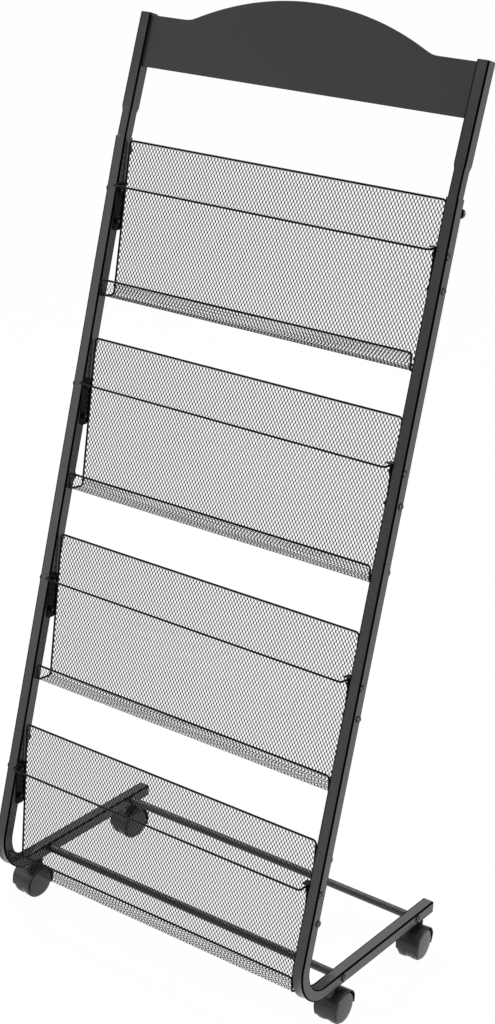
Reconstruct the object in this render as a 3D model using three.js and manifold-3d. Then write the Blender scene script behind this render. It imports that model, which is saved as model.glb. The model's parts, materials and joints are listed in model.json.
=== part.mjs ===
// Periodical display rack on casters: two leaning posts of square tube, each put together from four plugged
// sections, an arched header sheet, four mesh baskets with retaining rods, two cross bars and four twin-wheel
// casters. Millimetres, +Z up, +X to the right and +Y to the back. The origin is on the floor, in the middle.
import * as THREE from "three";
import { mergeVertices } from "three/addons/utils/BufferGeometryUtils.js";
import Module from "manifold-3d";

const wasm = await Module();
wasm.setup();

// Posts: every length along a post starts at the sharp corner of its front face with the underside of its foot.
const OUTER_WIDTH = 562;
const POST_LEAN = 14;
const TUBE = 18;
const TUBE_WALL = 1;
const TUBE_CORNER = 1.6;
const INNER_CORNER = 0.6;
const FOOT_LENGTH = 359;
const BEND_RADIUS = 52;
const BEND_STEPS = 9;
const CORNER_STEPS = 1;
const FOOT_LEG = 241.3;
const MIDDLE_LENGTH = 402;
const UPPER_LENGTH = 478;
const HEADER_LEG_LENGTH = 137;
const NECK_SHOWN = 36;
const NECK_INSERTED = 30;
const SHOULDER = 2;

// Gap between pieces that are plugged, bolted or welded together.
const FIT = 0.3;

// Header: a sheet set back between two legs that lean back a little further than the posts, with an arch
// standing on two level shoulders.
const HEADER_LEAN = 3;
const HEADER_INSET = 4;
const HEADER_SHEET = 1.5;
const HEADER_DROP = 73.5;
const SHOULDER_DROP = 1.5;
const ARCH_CHORD = 390;
const ARCH_RISE = 45.5;
const ARCH_STEPS = 24;

// Baskets, from the lowest to the top one. A basket's own frame stands at its upper bolt, square to its back panel.
const LOWEST_BOLT = 184;
const TIER_PITCHES = [290, 290, 283];
const BASKET_LEANS = [11.3, 8, 7.2, 5.8];
const BOLT_INSET = 5.8;
const BOLT_TO_RIM = 69.5;
const BOLT_TO_PANEL = 10.5;
const BOLT_PITCH = 44;
const PANEL_HEIGHT = 220;
const TRAY_DEPTH = 28.5;
const LIP_HEIGHT = 24;
const LIP_FLARE = 3.3;
const MESH_THICKNESS = 1.2;
const GRID_COLUMNS = 12;
const GRID_ROWS = 5;
const GRID_BAR = 6;
const GRID_EDGE = 5;
const WIRE = 3;
const RIM_BEND = 6;
const TRAY_BEND = 5;
const WIRE_SIDES = 6;
const WIRE_BEND_STEPS = 3;
const WIRE_BUTT = 0.5;

// Side brackets of a basket, welded to its rim wire, with a weld nut behind each bolt.
const BRACKET_SHEET = 1.5;
const BRACKET_HEIGHT = 68;
const BRACKET_FRONT = 6;
const LEDGE_WIDTH = 8;
const WELD_DEPTH = 0.3;
const NUT_ACROSS = 8;
const NUT_HEIGHT = 3;
const NUT_SIDES = 6;

// Retaining rod in front of a basket, a U bent from round bar and welded under the ledges of the brackets.
const ROD = 3;
const ROD_RISE = 7;
const ROD_REACH = 20;
const ROD_BEND = 4;
const ROD_TAIL = 8;

// Bolts: the small ones hold the baskets, the large ones hold the cross bars.
const BASKET_BOLT = { shank: 4, head: 8.4, crown: 6.4, headHeight: 2.6, past: 1.6 };
const BAR_BOLT = { shank: 6, head: 10.5, crown: 8, headHeight: 3.2, reach: 12 };
const BOLT_SIDES = 8;

// Cross bars: round tubes with a threaded plug in each end. The front one is placed from the corner of the foot,
// the rear one from its heel.
const BAR = 12;
const BAR_WALL = 1.2;
const BAR_PLUG = 16;
const BAR_TO_HEEL = 42;
const BAR_PLACES = { front: 122, rear: FOOT_LENGTH - BAR_TO_HEEL };
const BAR_SIDES = 16;

// Casters: the stem is held in the foot, the hood swivels on it, and two wheels turn on the hood's axle.
// A swivel of 0 has the wheels trailing to the back. The front stem is placed from the corner of the foot, the rear
// one from its heel.
const CASTER_HEIGHT = 60;
const STEM_TO_HEEL = 22;
const STEM_PLACES = { front: 104, rear: FOOT_LENGTH - STEM_TO_HEEL };
const SWIVELS = { front_right: 2, rear_right: 186, front_left: 176, rear_left: 174 };
const STEM = 6;
const STEM_SIDES = 24;
const STEM_IN_FOOT = 12;
const STEM_IN_HOOD = 16;
const COLLAR = 11;
const COLLAR_HEIGHT = 4;
const TRAIL = 13;
const WHEEL = 50;
const WHEEL_WIDTH = 13.5;
const WHEEL_DOME = 1;
const WHEEL_DOME_SHOULDER = 0.75;
const WHEEL_FACE = 40;
const WHEEL_EDGE = 3.5;
const WHEEL_EDGE_ROUND = 0.7;
const WHEEL_SIDES = 20;
const AXLE = 6;
const AXLE_SKIN = 2.5;
const WEB = 8;
const HUB = 48;
const HOOD_WALL = 1.4;
const HOOD_CLEARANCE = 0.8;
const WHEEL_CLEARANCE = 0.5;
const HOOD_LAP = 0.8;
const HOOD_REAR = 28;
const HOOD_FRONT = 202;
const HOOD_STEPS = 12;
const BOSS = 12;

const MATERIALS = {
  powderCoat: new THREE.MeshStandardMaterial({ color: 0x3c3c3d, roughness: 0.55, metalness: 0.2 }),
  headerCoat: new THREE.MeshStandardMaterial({ color: 0x363637, roughness: 0.6, metalness: 0.2 }),
  blackWire: new THREE.MeshStandardMaterial({ color: 0x1c1c1d, roughness: 0.5, metalness: 0.3 }),
  blackMesh: new THREE.MeshStandardMaterial({ color: 0x232324, roughness: 0.6, metalness: 0.3 }),
  zincScrew: new THREE.MeshStandardMaterial({ color: 0x4a4a4c, roughness: 0.4, metalness: 0.9 }),
  stemSteel: new THREE.MeshStandardMaterial({ color: 0x5a5a5c, roughness: 0.35, metalness: 1 }),
  hoodPlastic: new THREE.MeshStandardMaterial({ color: 0x262627, roughness: 0.5, metalness: 0 }),
  wheelPlastic: new THREE.MeshStandardMaterial({ color: 0x4b4b4d, roughness: 0.55, metalness: 0 }),
};

const LEAN = THREE.MathUtils.degToRad(POST_LEAN);
const HEADER_TILT = THREE.MathUtils.degToRad(HEADER_LEAN);
const HALF_TURN = Math.PI;
const SIDES = { left: -1, right: 1 };
const INNER_FACE = OUTER_WIDTH / 2 - TUBE;
const POST_X = OUTER_WIDTH / 2 - TUBE / 2;
const UPPER_FOOT = FOOT_LEG + MIDDLE_LENGTH;
const HEADER_FOOT = UPPER_FOOT + UPPER_LENGTH;
const NECK = TUBE - 2 * TUBE_WALL - 2 * FIT;
const NECK_HOLE = NECK - 2 * TUBE_WALL;
const NECK_CORNER = TUBE_CORNER - TUBE_WALL / 2;

// Centre line of a foot's bend: where its two straight runs would cross, and how far the bend reaches along them.
const BEND_TURN = Math.PI / 2 + LEAN;
const BEND_REACH = BEND_RADIUS * Math.tan(BEND_TURN / 2);
const CENTRE_CORNER_Y = (TUBE / 2 + (TUBE / 2) * Math.sin(LEAN)) / Math.cos(LEAN);
const FRONT_OF_BEND = CENTRE_CORNER_Y + BEND_REACH - BEND_RADIUS - TUBE / 2;
const CORNER_Y = -(FRONT_OF_BEND + FOOT_LENGTH) / 2;

const rack = new THREE.Group();

// Adds one named piece to a group.
function addPiece(group, name, geometry, material) {
  const mesh = new THREE.Mesh(geometry, material);
  mesh.name = name;
  group.add(mesh);
  return mesh;
}

// Closed geometry as a solid that can be joined and cut.
function toSolid(geometry) {
  const bare = new THREE.BufferGeometry();
  bare.setAttribute("position", geometry.getAttribute("position"));
  bare.setIndex(geometry.index);
  const merged = mergeVertices(bare, 1e-4);
  return new wasm.Manifold(
    new wasm.Mesh({
      numProp: 3,
      vertProperties: merged.getAttribute("position").array,
      triVerts: new Uint32Array(merged.index.array),
    }),
  );
}

function toGeometry(solid) {
  const mesh = solid.getMesh();
  const geometry = new THREE.BufferGeometry();
  geometry.setAttribute("position", new THREE.BufferAttribute(new Float32Array(mesh.vertProperties), 3));
  geometry.setIndex(new THREE.BufferAttribute(new Uint32Array(mesh.triVerts), 1));
  geometry.computeVertexNormals();
  return geometry;
}

function join(...geometries) {
  return toGeometry(geometries.map(toSolid).reduce((all, next) => all.add(next)));
}

function cut(geometry, tools) {
  return toGeometry(tools.map(toSolid).reduce((left, tool) => left.subtract(tool), toSolid(geometry)));
}

// Round bar from x0 to x1, along X.
function barAlongX(diameter, x0, x1, sides) {
  const bar = new THREE.CylinderGeometry(diameter / 2, diameter / 2, Math.abs(x1 - x0), sides);
  return bar.rotateZ(Math.PI / 2).translate((x0 + x1) / 2, 0, 0);
}

// Round bar from z0 to z1, along Z.
function barAlongZ(diameter, z0, z1, sides) {
  const bar = new THREE.CylinderGeometry(diameter / 2, diameter / 2, z1 - z0, sides);
  return bar.rotateX(Math.PI / 2).translate(0, 0, (z0 + z1) / 2);
}

// Flat outline drawn in Y and Z, made thick along X from x0 to x1.
function plateAlongX(shape, x0, x1, curveSegments) {
  const depth = Math.abs(x1 - x0);
  const plate = new THREE.ExtrudeGeometry(shape, { depth, bevelEnabled: false, curveSegments });
  const toYZ = new THREE.Matrix4().makeBasis(
    new THREE.Vector3(0, 1, 0),
    new THREE.Vector3(0, 0, 1),
    new THREE.Vector3(1, 0, 0),
  );
  return plate.applyMatrix4(toYZ).translate(Math.min(x0, x1), 0, 0);
}

function roundedSquare(Outline, size, corner) {
  const half = size / 2;
  const flat = half - corner;
  const outline = new Outline();
  outline.moveTo(flat, -half);
  outline.absarc(flat, -flat, corner, -Math.PI / 2, 0);
  outline.absarc(flat, flat, corner, 0, Math.PI / 2);
  outline.absarc(-flat, flat, corner, Math.PI / 2, Math.PI);
  outline.absarc(-flat, -flat, corner, Math.PI, 1.5 * Math.PI);
  outline.closePath();
  return outline;
}

// Hollow square section of a tube.
function tubeSection(size, wall, corner) {
  const section = roundedSquare(THREE.Shape, size, corner);
  section.holes.push(roundedSquare(THREE.Path, size - 2 * wall, INNER_CORNER));
  return section;
}

// Path of straight runs with a round bend at each inner corner. The spaced points are the ends of the runs and
// the steps around each bend, so a straight run takes one step.
class BentPath extends THREE.Curve {
  constructor(corners, bends, bendSteps) {
    super();
    this.stations = [];
    const last = corners.length - 1;
    const heading = (i) => corners[i + 1].clone().sub(corners[i]).normalize();
    this.stations.push({ point: corners[0].clone(), tangent: heading(0) });
    for (let i = 1; i < last; i++) {
      const before = heading(i - 1);
      const after = heading(i);
      const turn = before.angleTo(after);
      const axis = before.clone().cross(after).normalize();
      const start = corners[i].clone().addScaledVector(before, -bends[i] * Math.tan(turn / 2));
      const centre = start.clone().addScaledVector(axis.clone().cross(before), bends[i]);
      for (let k = 0; k <= bendSteps; k++) {
        const angle = (turn * k) / bendSteps;
        const point = start.clone().sub(centre).applyAxisAngle(axis, angle).add(centre);
        this.stations.push({ point, tangent: before.clone().applyAxisAngle(axis, angle) });
      }
    }
    this.stations.push({ point: corners[last].clone(), tangent: heading(last - 1) });
    this.steps = this.stations.length - 1;
  }

  getPointAt(u) {
    return this.stations[Math.round(u * this.steps)].point.clone();
  }

  getTangentAt(u) {
    return this.stations[Math.round(u * this.steps)].tangent.clone();
  }
}

function sweep(section, path, curveSegments) {
  return new THREE.ExtrudeGeometry(section, { steps: path.steps, extrudePath: path, curveSegments });
}

// Round wire along a bent path, swept as a polygon of few sides.
function bentWire(diameter, corners, bends) {
  const section = new THREE.Shape();
  for (let i = 0; i < WIRE_SIDES; i++) {
    const angle = ((i + 0.5) * 2 * Math.PI) / WIRE_SIDES;
    section.lineTo((diameter / 2) * Math.cos(angle), (diameter / 2) * Math.sin(angle));
  }
  section.closePath();
  return sweep(section, new BentPath(corners, bends, WIRE_BEND_STEPS), 1);
}

const TIERS = BASKET_LEANS.map((lean, tier) => ({
  number: tier + 1,
  lean: THREE.MathUtils.degToRad(lean),
  bolt: TIER_PITCHES.slice(0, tier).reduce((height, pitch) => height + pitch, LOWEST_BOLT),
}));

// Frame along the posts: local Z runs up a post from the corner, local Y is square to its front face.
const posts = new THREE.Group();
posts.position.set(0, CORNER_Y, CASTER_HEIGHT);
posts.rotation.x = -LEAN;
rack.add(posts);

// Where the basket bolts cross the posts, as tools that drill their clearance holes through both post walls.
function basketBoltPlaces() {
  return TIERS.flatMap(({ lean, bolt }) =>
    [0, BOLT_PITCH].map((down) => ({
      y: BOLT_INSET + down * Math.sin(lean),
      z: bolt - down * Math.cos(lean),
    })),
  );
}

function basketBoltDrills() {
  return basketBoltPlaces().map(({ y, z }) =>
    barAlongX(BASKET_BOLT.shank + 2 * FIT, -TUBE, TUBE, BOLT_SIDES).translate(0, y, z),
  );
}

// Solid square bar from z0 to z1, along Z.
function squareBar(size, corner, z0, z1) {
  const options = { depth: z1 - z0, bevelEnabled: false, curveSegments: CORNER_STEPS };
  return new THREE.ExtrudeGeometry(roundedSquare(THREE.Shape, size, corner), options).translate(0, 0, z0);
}

// A section of post that stands at z0, with a swaged neck plugged into the section below.
function swagedTube(z0, length) {
  const outside = join(
    squareBar(NECK, NECK_CORNER, -NECK_INSERTED, SHOULDER),
    squareBar(TUBE, TUBE_CORNER, 0, length),
  );
  const hollow = [
    squareBar(NECK_HOLE, INNER_CORNER, -NECK_INSERTED - FIT, 2 * SHOULDER),
    squareBar(TUBE - 2 * TUBE_WALL, INNER_CORNER, SHOULDER, length + FIT),
  ];
  return cut(cut(outside, hollow).translate(0, TUBE / 2, z0), basketBoltDrills());
}

// Leg of the header: its neck is plugged into the upper tube and bends back to the lean of the header above it.
function headerLeg() {
  const leaning = (bar) => bar.rotateX(-HEADER_TILT);
  const top = NECK_SHOWN + HEADER_LEG_LENGTH;
  const outside = join(
    squareBar(NECK, NECK_CORNER, -NECK_INSERTED, 0),
    leaning(squareBar(NECK, NECK_CORNER, -SHOULDER, NECK_SHOWN + SHOULDER)),
    leaning(squareBar(TUBE, TUBE_CORNER, NECK_SHOWN, top)),
  );
  const hollow = [
    squareBar(NECK_HOLE, INNER_CORNER, -NECK_INSERTED - FIT, 0),
    leaning(squareBar(NECK_HOLE, INNER_CORNER, -SHOULDER, NECK_SHOWN + 2 * SHOULDER)),
    leaning(squareBar(TUBE - 2 * TUBE_WALL, INNER_CORNER, NECK_SHOWN + SHOULDER, top + FIT)),
  ];
  return cut(cut(outside, hollow).translate(0, TUBE / 2, HEADER_FOOT), basketBoltDrills());
}

function postSections(side) {
  const sections = {
    middle_tube: swagedTube(FOOT_LEG + FIT, MIDDLE_LENGTH - FIT),
    upper_tube: swagedTube(UPPER_FOOT + FIT, UPPER_LENGTH - FIT),
    header_leg: headerLeg(),
  };
  for (const [name, tube] of Object.entries(sections)) {
    addPiece(posts, `${name}_${side}`, tube, MATERIALS.powderCoat).position.x = SIDES[side] * POST_X;
  }
}

// Lower end of a post with the foot, one tube bent back at the floor. Its own frame starts at the corner.
function footTube() {
  const along = new THREE.Vector3(0, Math.sin(LEAN), Math.cos(LEAN));
  const back = new THREE.Vector3(0, Math.cos(LEAN), -Math.sin(LEAN));
  const top = along.multiplyScalar(FOOT_LEG).addScaledVector(back, TUBE / 2);
  const corner = new THREE.Vector3(0, CENTRE_CORNER_Y, TUBE / 2);
  const heel = new THREE.Vector3(0, FOOT_LENGTH, TUBE / 2);
  const path = new BentPath([top, corner, heel], [0, BEND_RADIUS, 0], BEND_STEPS);
  const tube = sweep(tubeSection(TUBE, TUBE_WALL, TUBE_CORNER), path, CORNER_STEPS);
  const drills = basketBoltDrills().map((drill) => drill.rotateX(-LEAN));
  const barHole = BAR_BOLT.shank + 2 * FIT;
  for (const place of Object.values(BAR_PLACES)) {
    drills.push(barAlongX(barHole, -TUBE, TUBE, BOLT_SIDES).translate(0, place, TUBE / 2));
  }
  for (const place of Object.values(STEM_PLACES)) {
    drills.push(barAlongZ(STEM + 2 * FIT, -TUBE_WALL, STEM_IN_FOOT, STEM_SIDES).translate(0, place, 0));
  }
  return cut(tube, drills);
}

function jFoot(side) {
  const foot = addPiece(rack, `j_foot_${side}`, footTube(), MATERIALS.powderCoat);
  foot.position.set(SIDES[side] * POST_X, CORNER_Y, CASTER_HEIGHT);
}

// Header sheet: level lower edge, two shoulders, and a circular arch between them.
function headerPanel() {
  const halfWidth = INNER_FACE - FIT;
  const shoulder = HEADER_DROP - SHOULDER_DROP;
  const chord = ARCH_CHORD / 2;
  const radius = (chord * chord + ARCH_RISE * ARCH_RISE) / (2 * ARCH_RISE);
  const start = Math.asin(chord / radius);
  const outline = new THREE.Shape();
  outline.moveTo(-halfWidth, 0);
  outline.lineTo(halfWidth, 0);
  outline.lineTo(halfWidth, shoulder);
  outline.lineTo(chord, shoulder);
  const centre = shoulder + ARCH_RISE - radius;
  outline.absarc(0, centre, radius, Math.PI / 2 - start, Math.PI / 2 + start);
  outline.lineTo(-halfWidth, shoulder);
  outline.closePath();
  const options = { depth: HEADER_SHEET, bevelEnabled: false, curveSegments: ARCH_STEPS };
  const sheet = new THREE.ExtrudeGeometry(outline, options).rotateX(Math.PI / 2).translate(0, HEADER_SHEET, 0);
  const frame = new THREE.Group();
  frame.position.set(0, TUBE / 2, HEADER_FOOT);
  frame.rotation.x = -HEADER_TILT;
  posts.add(frame);
  const panel = addPiece(frame, "header_panel", sheet, MATERIALS.headerCoat);
  panel.position.set(0, HEADER_INSET - TUBE / 2, NECK_SHOWN + HEADER_LEG_LENGTH - HEADER_DROP);
}

// Places shared by a basket's wire, sheet, brackets and rod, in the basket's own frame.
const BRACKET_OUTER = INNER_FACE - FIT;
const BRACKET_INNER = BRACKET_OUTER - BRACKET_SHEET;
const WIRE_X = BRACKET_INNER - WIRE / 2 + WELD_DEPTH;
const PANEL_Y = BOLT_TO_PANEL;
const TRAY_FRONT_Y = PANEL_Y - TRAY_DEPTH;
const LIP_Y = TRAY_FRONT_Y - LIP_FLARE;
const RIM_Z = BOLT_TO_RIM;
const TRAY_Z = RIM_Z - PANEL_HEIGHT;
const LIP_Z = TRAY_Z + LIP_HEIGHT;
const ROD_X = BRACKET_INNER - FIT - ROD / 2;
const LEDGE_Z = ROD_RISE + ROD / 2 + FIT;

// Rim wire: one loop round the back panel, the open tray ends and the lip, butted in the middle of the top run.
function rimWire() {
  const at = (x, y, z) => new THREE.Vector3(x, y, z);
  const rightEnd = [
    at(WIRE_X, PANEL_Y, RIM_Z),
    at(WIRE_X, PANEL_Y, TRAY_Z),
    at(WIRE_X, TRAY_FRONT_Y, TRAY_Z),
    at(WIRE_X, LIP_Y, LIP_Z),
  ];
  const leftEnd = rightEnd.map(({ x, y, z }) => at(-x, y, z)).reverse();
  const butt = at(WIRE_BUTT / 2, PANEL_Y, RIM_Z);
  const corners = [butt, ...rightEnd, ...leftEnd, at(-butt.x, butt.y, butt.z)];
  const endBends = [RIM_BEND, TRAY_BEND, TRAY_BEND, TRAY_BEND];
  return bentWire(WIRE, corners, [0, ...endBends, ...[...endBends].reverse(), 0]);
}

// Side bracket: a plate on the post, a ledge over the rod's end and two weld nuts.
function sideBracket(sign) {
  const top = LEDGE_Z + BRACKET_SHEET;
  const plateOutline = new THREE.Shape();
  plateOutline.moveTo(-BRACKET_FRONT, top - BRACKET_HEIGHT);
  plateOutline.lineTo(PANEL_Y, top - BRACKET_HEIGHT);
  plateOutline.lineTo(PANEL_Y, top);
  plateOutline.lineTo(-BRACKET_FRONT, top);
  plateOutline.closePath();
  const plate = plateAlongX(plateOutline, sign * BRACKET_INNER, sign * BRACKET_OUTER, 1);
  const ledgeOutline = new THREE.Shape();
  ledgeOutline.moveTo(-BRACKET_FRONT, LEDGE_Z);
  ledgeOutline.lineTo(ROD_TAIL, LEDGE_Z);
  ledgeOutline.lineTo(ROD_TAIL, top);
  ledgeOutline.lineTo(-BRACKET_FRONT, top);
  ledgeOutline.closePath();
  const ledge = plateAlongX(ledgeOutline, sign * (BRACKET_INNER - LEDGE_WIDTH), sign * BRACKET_OUTER, 1);
  const boltHeights = [0, -BOLT_PITCH];
  const nutDiameter = NUT_ACROSS / Math.cos(Math.PI / NUT_SIDES);
  const nutFace = BRACKET_INNER - NUT_HEIGHT;
  const nuts = boltHeights.map((z) =>
    barAlongX(nutDiameter, sign * nutFace, sign * (BRACKET_OUTER - FIT), NUT_SIDES).translate(0, 0, z),
  );
  const drills = boltHeights.map((z) =>
    barAlongX(BASKET_BOLT.shank + 2 * FIT, 0, sign * OUTER_WIDTH, BOLT_SIDES).translate(0, 0, z),
  );
  return cut(join(plate, ledge, ...nuts), drills);
}

// What lies outside the wire at one rounded corner of the sheet, as a tool that rounds the sheet to fit.
function cornerTool(sign, bend, y, zEdge) {
  const inside = bend - WIRE / 2 - FIT;
  const turnX = WIRE_X - bend;
  const turnZ = zEdge - bend;
  const outline = new THREE.Shape();
  outline.moveTo(sign * turnX, zEdge);
  outline.lineTo(sign * WIRE_X, zEdge);
  outline.lineTo(sign * WIRE_X, turnZ);
  for (let k = 0; k <= WIRE_BEND_STEPS; k++) {
    const angle = ((Math.PI / 2) * k) / WIRE_BEND_STEPS;
    outline.lineTo(sign * (turnX + inside * Math.cos(angle)), turnZ + inside * Math.sin(angle));
  }
  outline.closePath();
  const tool = new THREE.ExtrudeGeometry(outline, { depth: TRAY_DEPTH, bevelEnabled: false });
  return tool.rotateX(Math.PI / 2).translate(0, y + TRAY_DEPTH / 2, 0);
}

// Openings of a sheet as blocks from low to high: evenly spaced along X, with rows along Z.
function gridTools(low, high, rows) {
  const pitch = high.clone().sub(low).addScalar(GRID_BAR);
  const wide = pitch.x / GRID_COLUMNS;
  const tall = pitch.z / rows;
  const deep = high.y - low.y;
  const tools = [];
  for (let column = 0; column < GRID_COLUMNS; column++) {
    for (let row = 0; row < rows; row++) {
      const block = new THREE.BoxGeometry(wide - GRID_BAR, deep, tall - GRID_BAR);
      const x = low.x + (column + 0.5) * wide - GRID_BAR / 2;
      const z = low.z + (row + 0.5) * tall - GRID_BAR / 2;
      tools.push(block.translate(x, (low.y + high.y) / 2, z));
    }
  }
  return tools;
}

// Mesh sheet of a basket: a sheet in the outline of the back panel, the tray and the lip, with a plain grid of
// openings in each of the three.
function meshTray() {
  const half = MESH_THICKNESS / 2;
  const clear = WIRE / 2 + FIT;
  const flare = Math.atan2(LIP_FLARE, LIP_HEIGHT);
  const lipTop = { y: LIP_Y + clear * Math.sin(flare), z: LIP_Z - clear * Math.cos(flare) };
  const lean = half * Math.cos(flare);
  const foot = half / Math.cos(flare) - half * Math.tan(flare);
  const outline = new THREE.Shape();
  outline.moveTo(PANEL_Y + half, RIM_Z - clear);
  outline.lineTo(PANEL_Y - half, RIM_Z - clear);
  outline.lineTo(PANEL_Y - half, TRAY_Z + half);
  outline.lineTo(TRAY_FRONT_Y + foot, TRAY_Z + half);
  outline.lineTo(lipTop.y + lean, lipTop.z);
  outline.lineTo(lipTop.y - lean, lipTop.z);
  outline.lineTo(TRAY_FRONT_Y - half / Math.cos(flare) + half * Math.tan(flare), TRAY_Z - half);
  outline.lineTo(PANEL_Y + half, TRAY_Z - half);
  outline.closePath();
  const end = WIRE_X - clear;
  const sheet = plateAlongX(outline, -end, end, 1);
  const corners = Object.values(SIDES).flatMap((sign) => [
    cornerTool(sign, RIM_BEND, PANEL_Y, RIM_Z),
    cornerTool(sign, TRAY_BEND, LIP_Y, LIP_Z),
  ]);
  const span = end - GRID_BAR;
  const at = (x, y, z) => new THREE.Vector3(x, y, z);
  const panelGrid = gridTools(
    at(-span, PANEL_Y - MESH_THICKNESS, TRAY_Z + GRID_EDGE),
    at(span, PANEL_Y + MESH_THICKNESS, RIM_Z - clear - GRID_EDGE),
    GRID_ROWS,
  );
  const lipGrid = gridTools(
    at(-span, LIP_Y - MESH_THICKNESS, TRAY_Z + GRID_EDGE),
    at(span, TRAY_FRONT_Y + MESH_THICKNESS, lipTop.z - GRID_EDGE),
    1,
  );
  const trayGrid = gridTools(
    at(-span, TRAY_FRONT_Y + GRID_EDGE, TRAY_Z - MESH_THICKNESS),
    at(span, PANEL_Y - GRID_EDGE, TRAY_Z + MESH_THICKNESS),
    1,
  );
  return cut(sheet, [...corners, ...panelGrid, ...lipGrid, ...trayGrid]);
}

function retainingRod() {
  const at = (x, y) => new THREE.Vector3(x, y, ROD_RISE);
  const corners = [at(ROD_X, ROD_TAIL), at(ROD_X, -ROD_REACH), at(-ROD_X, -ROD_REACH), at(-ROD_X, ROD_TAIL)];
  return bentWire(ROD, corners, [0, ROD_BEND, ROD_BEND, 0]);
}

// Pan-head bolt along X: its head seats on the outer face of the tube and its shank ends at x1.
function boltAlongX({ shank, head, crown, headHeight }, x1) {
  const seat = OUTER_WIDTH / 2 + FIT;
  const stem = barAlongX(shank, x1, seat + headHeight / 2, BOLT_SIDES);
  const cap = new THREE.CylinderGeometry(head / 2, crown / 2, headHeight, BOLT_SIDES);
  return join(stem, cap.rotateZ(Math.PI / 2).translate(seat + headHeight / 2, 0, 0));
}

function basket({ number, lean, bolt }) {
  const frame = new THREE.Group();
  frame.position.set(0, BOLT_INSET, bolt);
  frame.rotation.x = lean;
  posts.add(frame);
  const rim = join(rimWire(), ...Object.values(SIDES).map(sideBracket));
  addPiece(frame, `rim_frame_${number}`, rim, MATERIALS.blackWire);
  addPiece(frame, `mesh_tray_${number}`, meshTray(), MATERIALS.blackMesh);
  addPiece(frame, `retaining_rod_${number}`, retainingRod(), MATERIALS.blackWire);
  const shankEnd = BRACKET_INNER - NUT_HEIGHT - BASKET_BOLT.past;
  for (const [side, sign] of Object.entries(SIDES)) {
    for (const [place, z] of [["upper", 0], ["lower", -BOLT_PITCH]]) {
      const name = `basket_bolt_${number}_${place}_${side}`;
      const piece = addPiece(frame, name, boltAlongX(BASKET_BOLT, shankEnd), MATERIALS.zincScrew);
      piece.position.z = z;
      piece.rotation.z = sign < 0 ? HALF_TURN : 0;
    }
  }
}

// Cross bar: a round tube whose thick ends are the threaded plugs.
function crossBar(name, place) {
  const half = INNER_FACE - FIT;
  const outer = BAR / 2;
  const inner = BAR / 2 - BAR_WALL;
  const thread = BAR_BOLT.shank / 2 + FIT;
  const profile = [
    [thread, -half],
    [outer, -half],
    [outer, half],
    [thread, half],
    [thread, half - BAR_PLUG],
    [inner, half - BAR_PLUG],
    [inner, BAR_PLUG - half],
    [thread, BAR_PLUG - half],
    [thread, -half],
  ].map(([r, x]) => new THREE.Vector2(r, x));
  const bar = new THREE.LatheGeometry(profile, BAR_SIDES).rotateZ(-Math.PI / 2);
  const height = CASTER_HEIGHT + TUBE / 2;
  addPiece(rack, `cross_bar_${name}`, bar, MATERIALS.powderCoat).position.set(0, CORNER_Y + place, height);
  for (const [side, sign] of Object.entries(SIDES)) {
    const bolt = boltAlongX(BAR_BOLT, half - BAR_BOLT.reach);
    const piece = addPiece(rack, `bar_bolt_${name}_${side}`, bolt, MATERIALS.zincScrew);
    piece.position.set(0, CORNER_Y + place, height);
    piece.rotation.z = sign < 0 ? HALF_TURN : 0;
  }
}

// Caster sizes in its own frame: the stem on the Z axis, the floor at 0, the axle along X behind the stem.
const WHEEL_RADIUS = WHEEL / 2;
const WHEEL_X = WEB / 2 + WHEEL_CLEARANCE;
const HOOD_INNER = WHEEL_RADIUS + HOOD_CLEARANCE;
const HOOD_OUTER = HOOD_INNER + HOOD_WALL;
const HOOD_HALF = WHEEL_X + WHEEL_WIDTH + HOOD_LAP;
const COLLAR_FOOT = CASTER_HEIGHT - FIT - COLLAR_HEIGHT;
const BOSS_TOP = COLLAR_FOOT - FIT;
const STEM_FOOT = BOSS_TOP - STEM_IN_HOOD;

function casterStem() {
  const pin = barAlongZ(STEM, STEM_FOOT, CASTER_HEIGHT + STEM_IN_FOOT - FIT, STEM_SIDES);
  const collar = barAlongZ(COLLAR, COLLAR_FOOT, COLLAR_FOOT + COLLAR_HEIGHT, BAR_SIDES);
  return join(pin, collar);
}

// Pie or ring sector about the axle, in Y and Z, from the rear edge of the hood over the top to its front skirt.
function hoodSector(inner, outer) {
  const rear = THREE.MathUtils.degToRad(HOOD_REAR);
  const front = THREE.MathUtils.degToRad(HOOD_FRONT);
  const sector = new THREE.Shape();
  sector.absarc(0, 0, outer, rear, front, false);
  if (inner > 0) {
    sector.absarc(0, 0, inner, front, rear, true);
  } else {
    sector.lineTo(0, 0);
  }
  sector.closePath();
  return sector;
}

// Hood: shell over both wheels, web between them with the axle, and a boss bored for the stem.
function casterHood() {
  const onAxle = (geometry) => geometry.translate(0, TRAIL, WHEEL_RADIUS);
  const shell = onAxle(plateAlongX(hoodSector(HOOD_INNER, HOOD_OUTER), -HOOD_HALF, HOOD_HALF, HOOD_STEPS));
  const webSector = hoodSector(0, HOOD_INNER + HOOD_WALL / 2);
  const web = onAxle(plateAlongX(webSector, -WEB / 2, WEB / 2, HOOD_STEPS));
  const hub = onAxle(barAlongX(HUB, -WEB / 2, WEB / 2, BAR_SIDES));
  const axleEnd = WHEEL_X + WHEEL_WIDTH - AXLE_SKIN - 2 * FIT;
  const axle = onAxle(barAlongX(AXLE, -axleEnd, axleEnd, BOLT_SIDES));
  const boss = barAlongZ(BOSS, STEM_FOOT, BOSS_TOP, BAR_SIDES);
  const wheelSpaces = [-1, 1].map((sign) =>
    onAxle(barAlongX(2 * HOOD_INNER, (sign * WEB) / 2, sign * HOOD_HALF, WHEEL_SIDES)),
  );
  const stemBore = barAlongZ(STEM + 2 * FIT, STEM_FOOT - FIT, BOSS_TOP + BOSS, STEM_SIDES);
  return cut(join(shell, web, hub, cut(boss, wheelSpaces), axle), [stemBore]);
}

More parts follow.
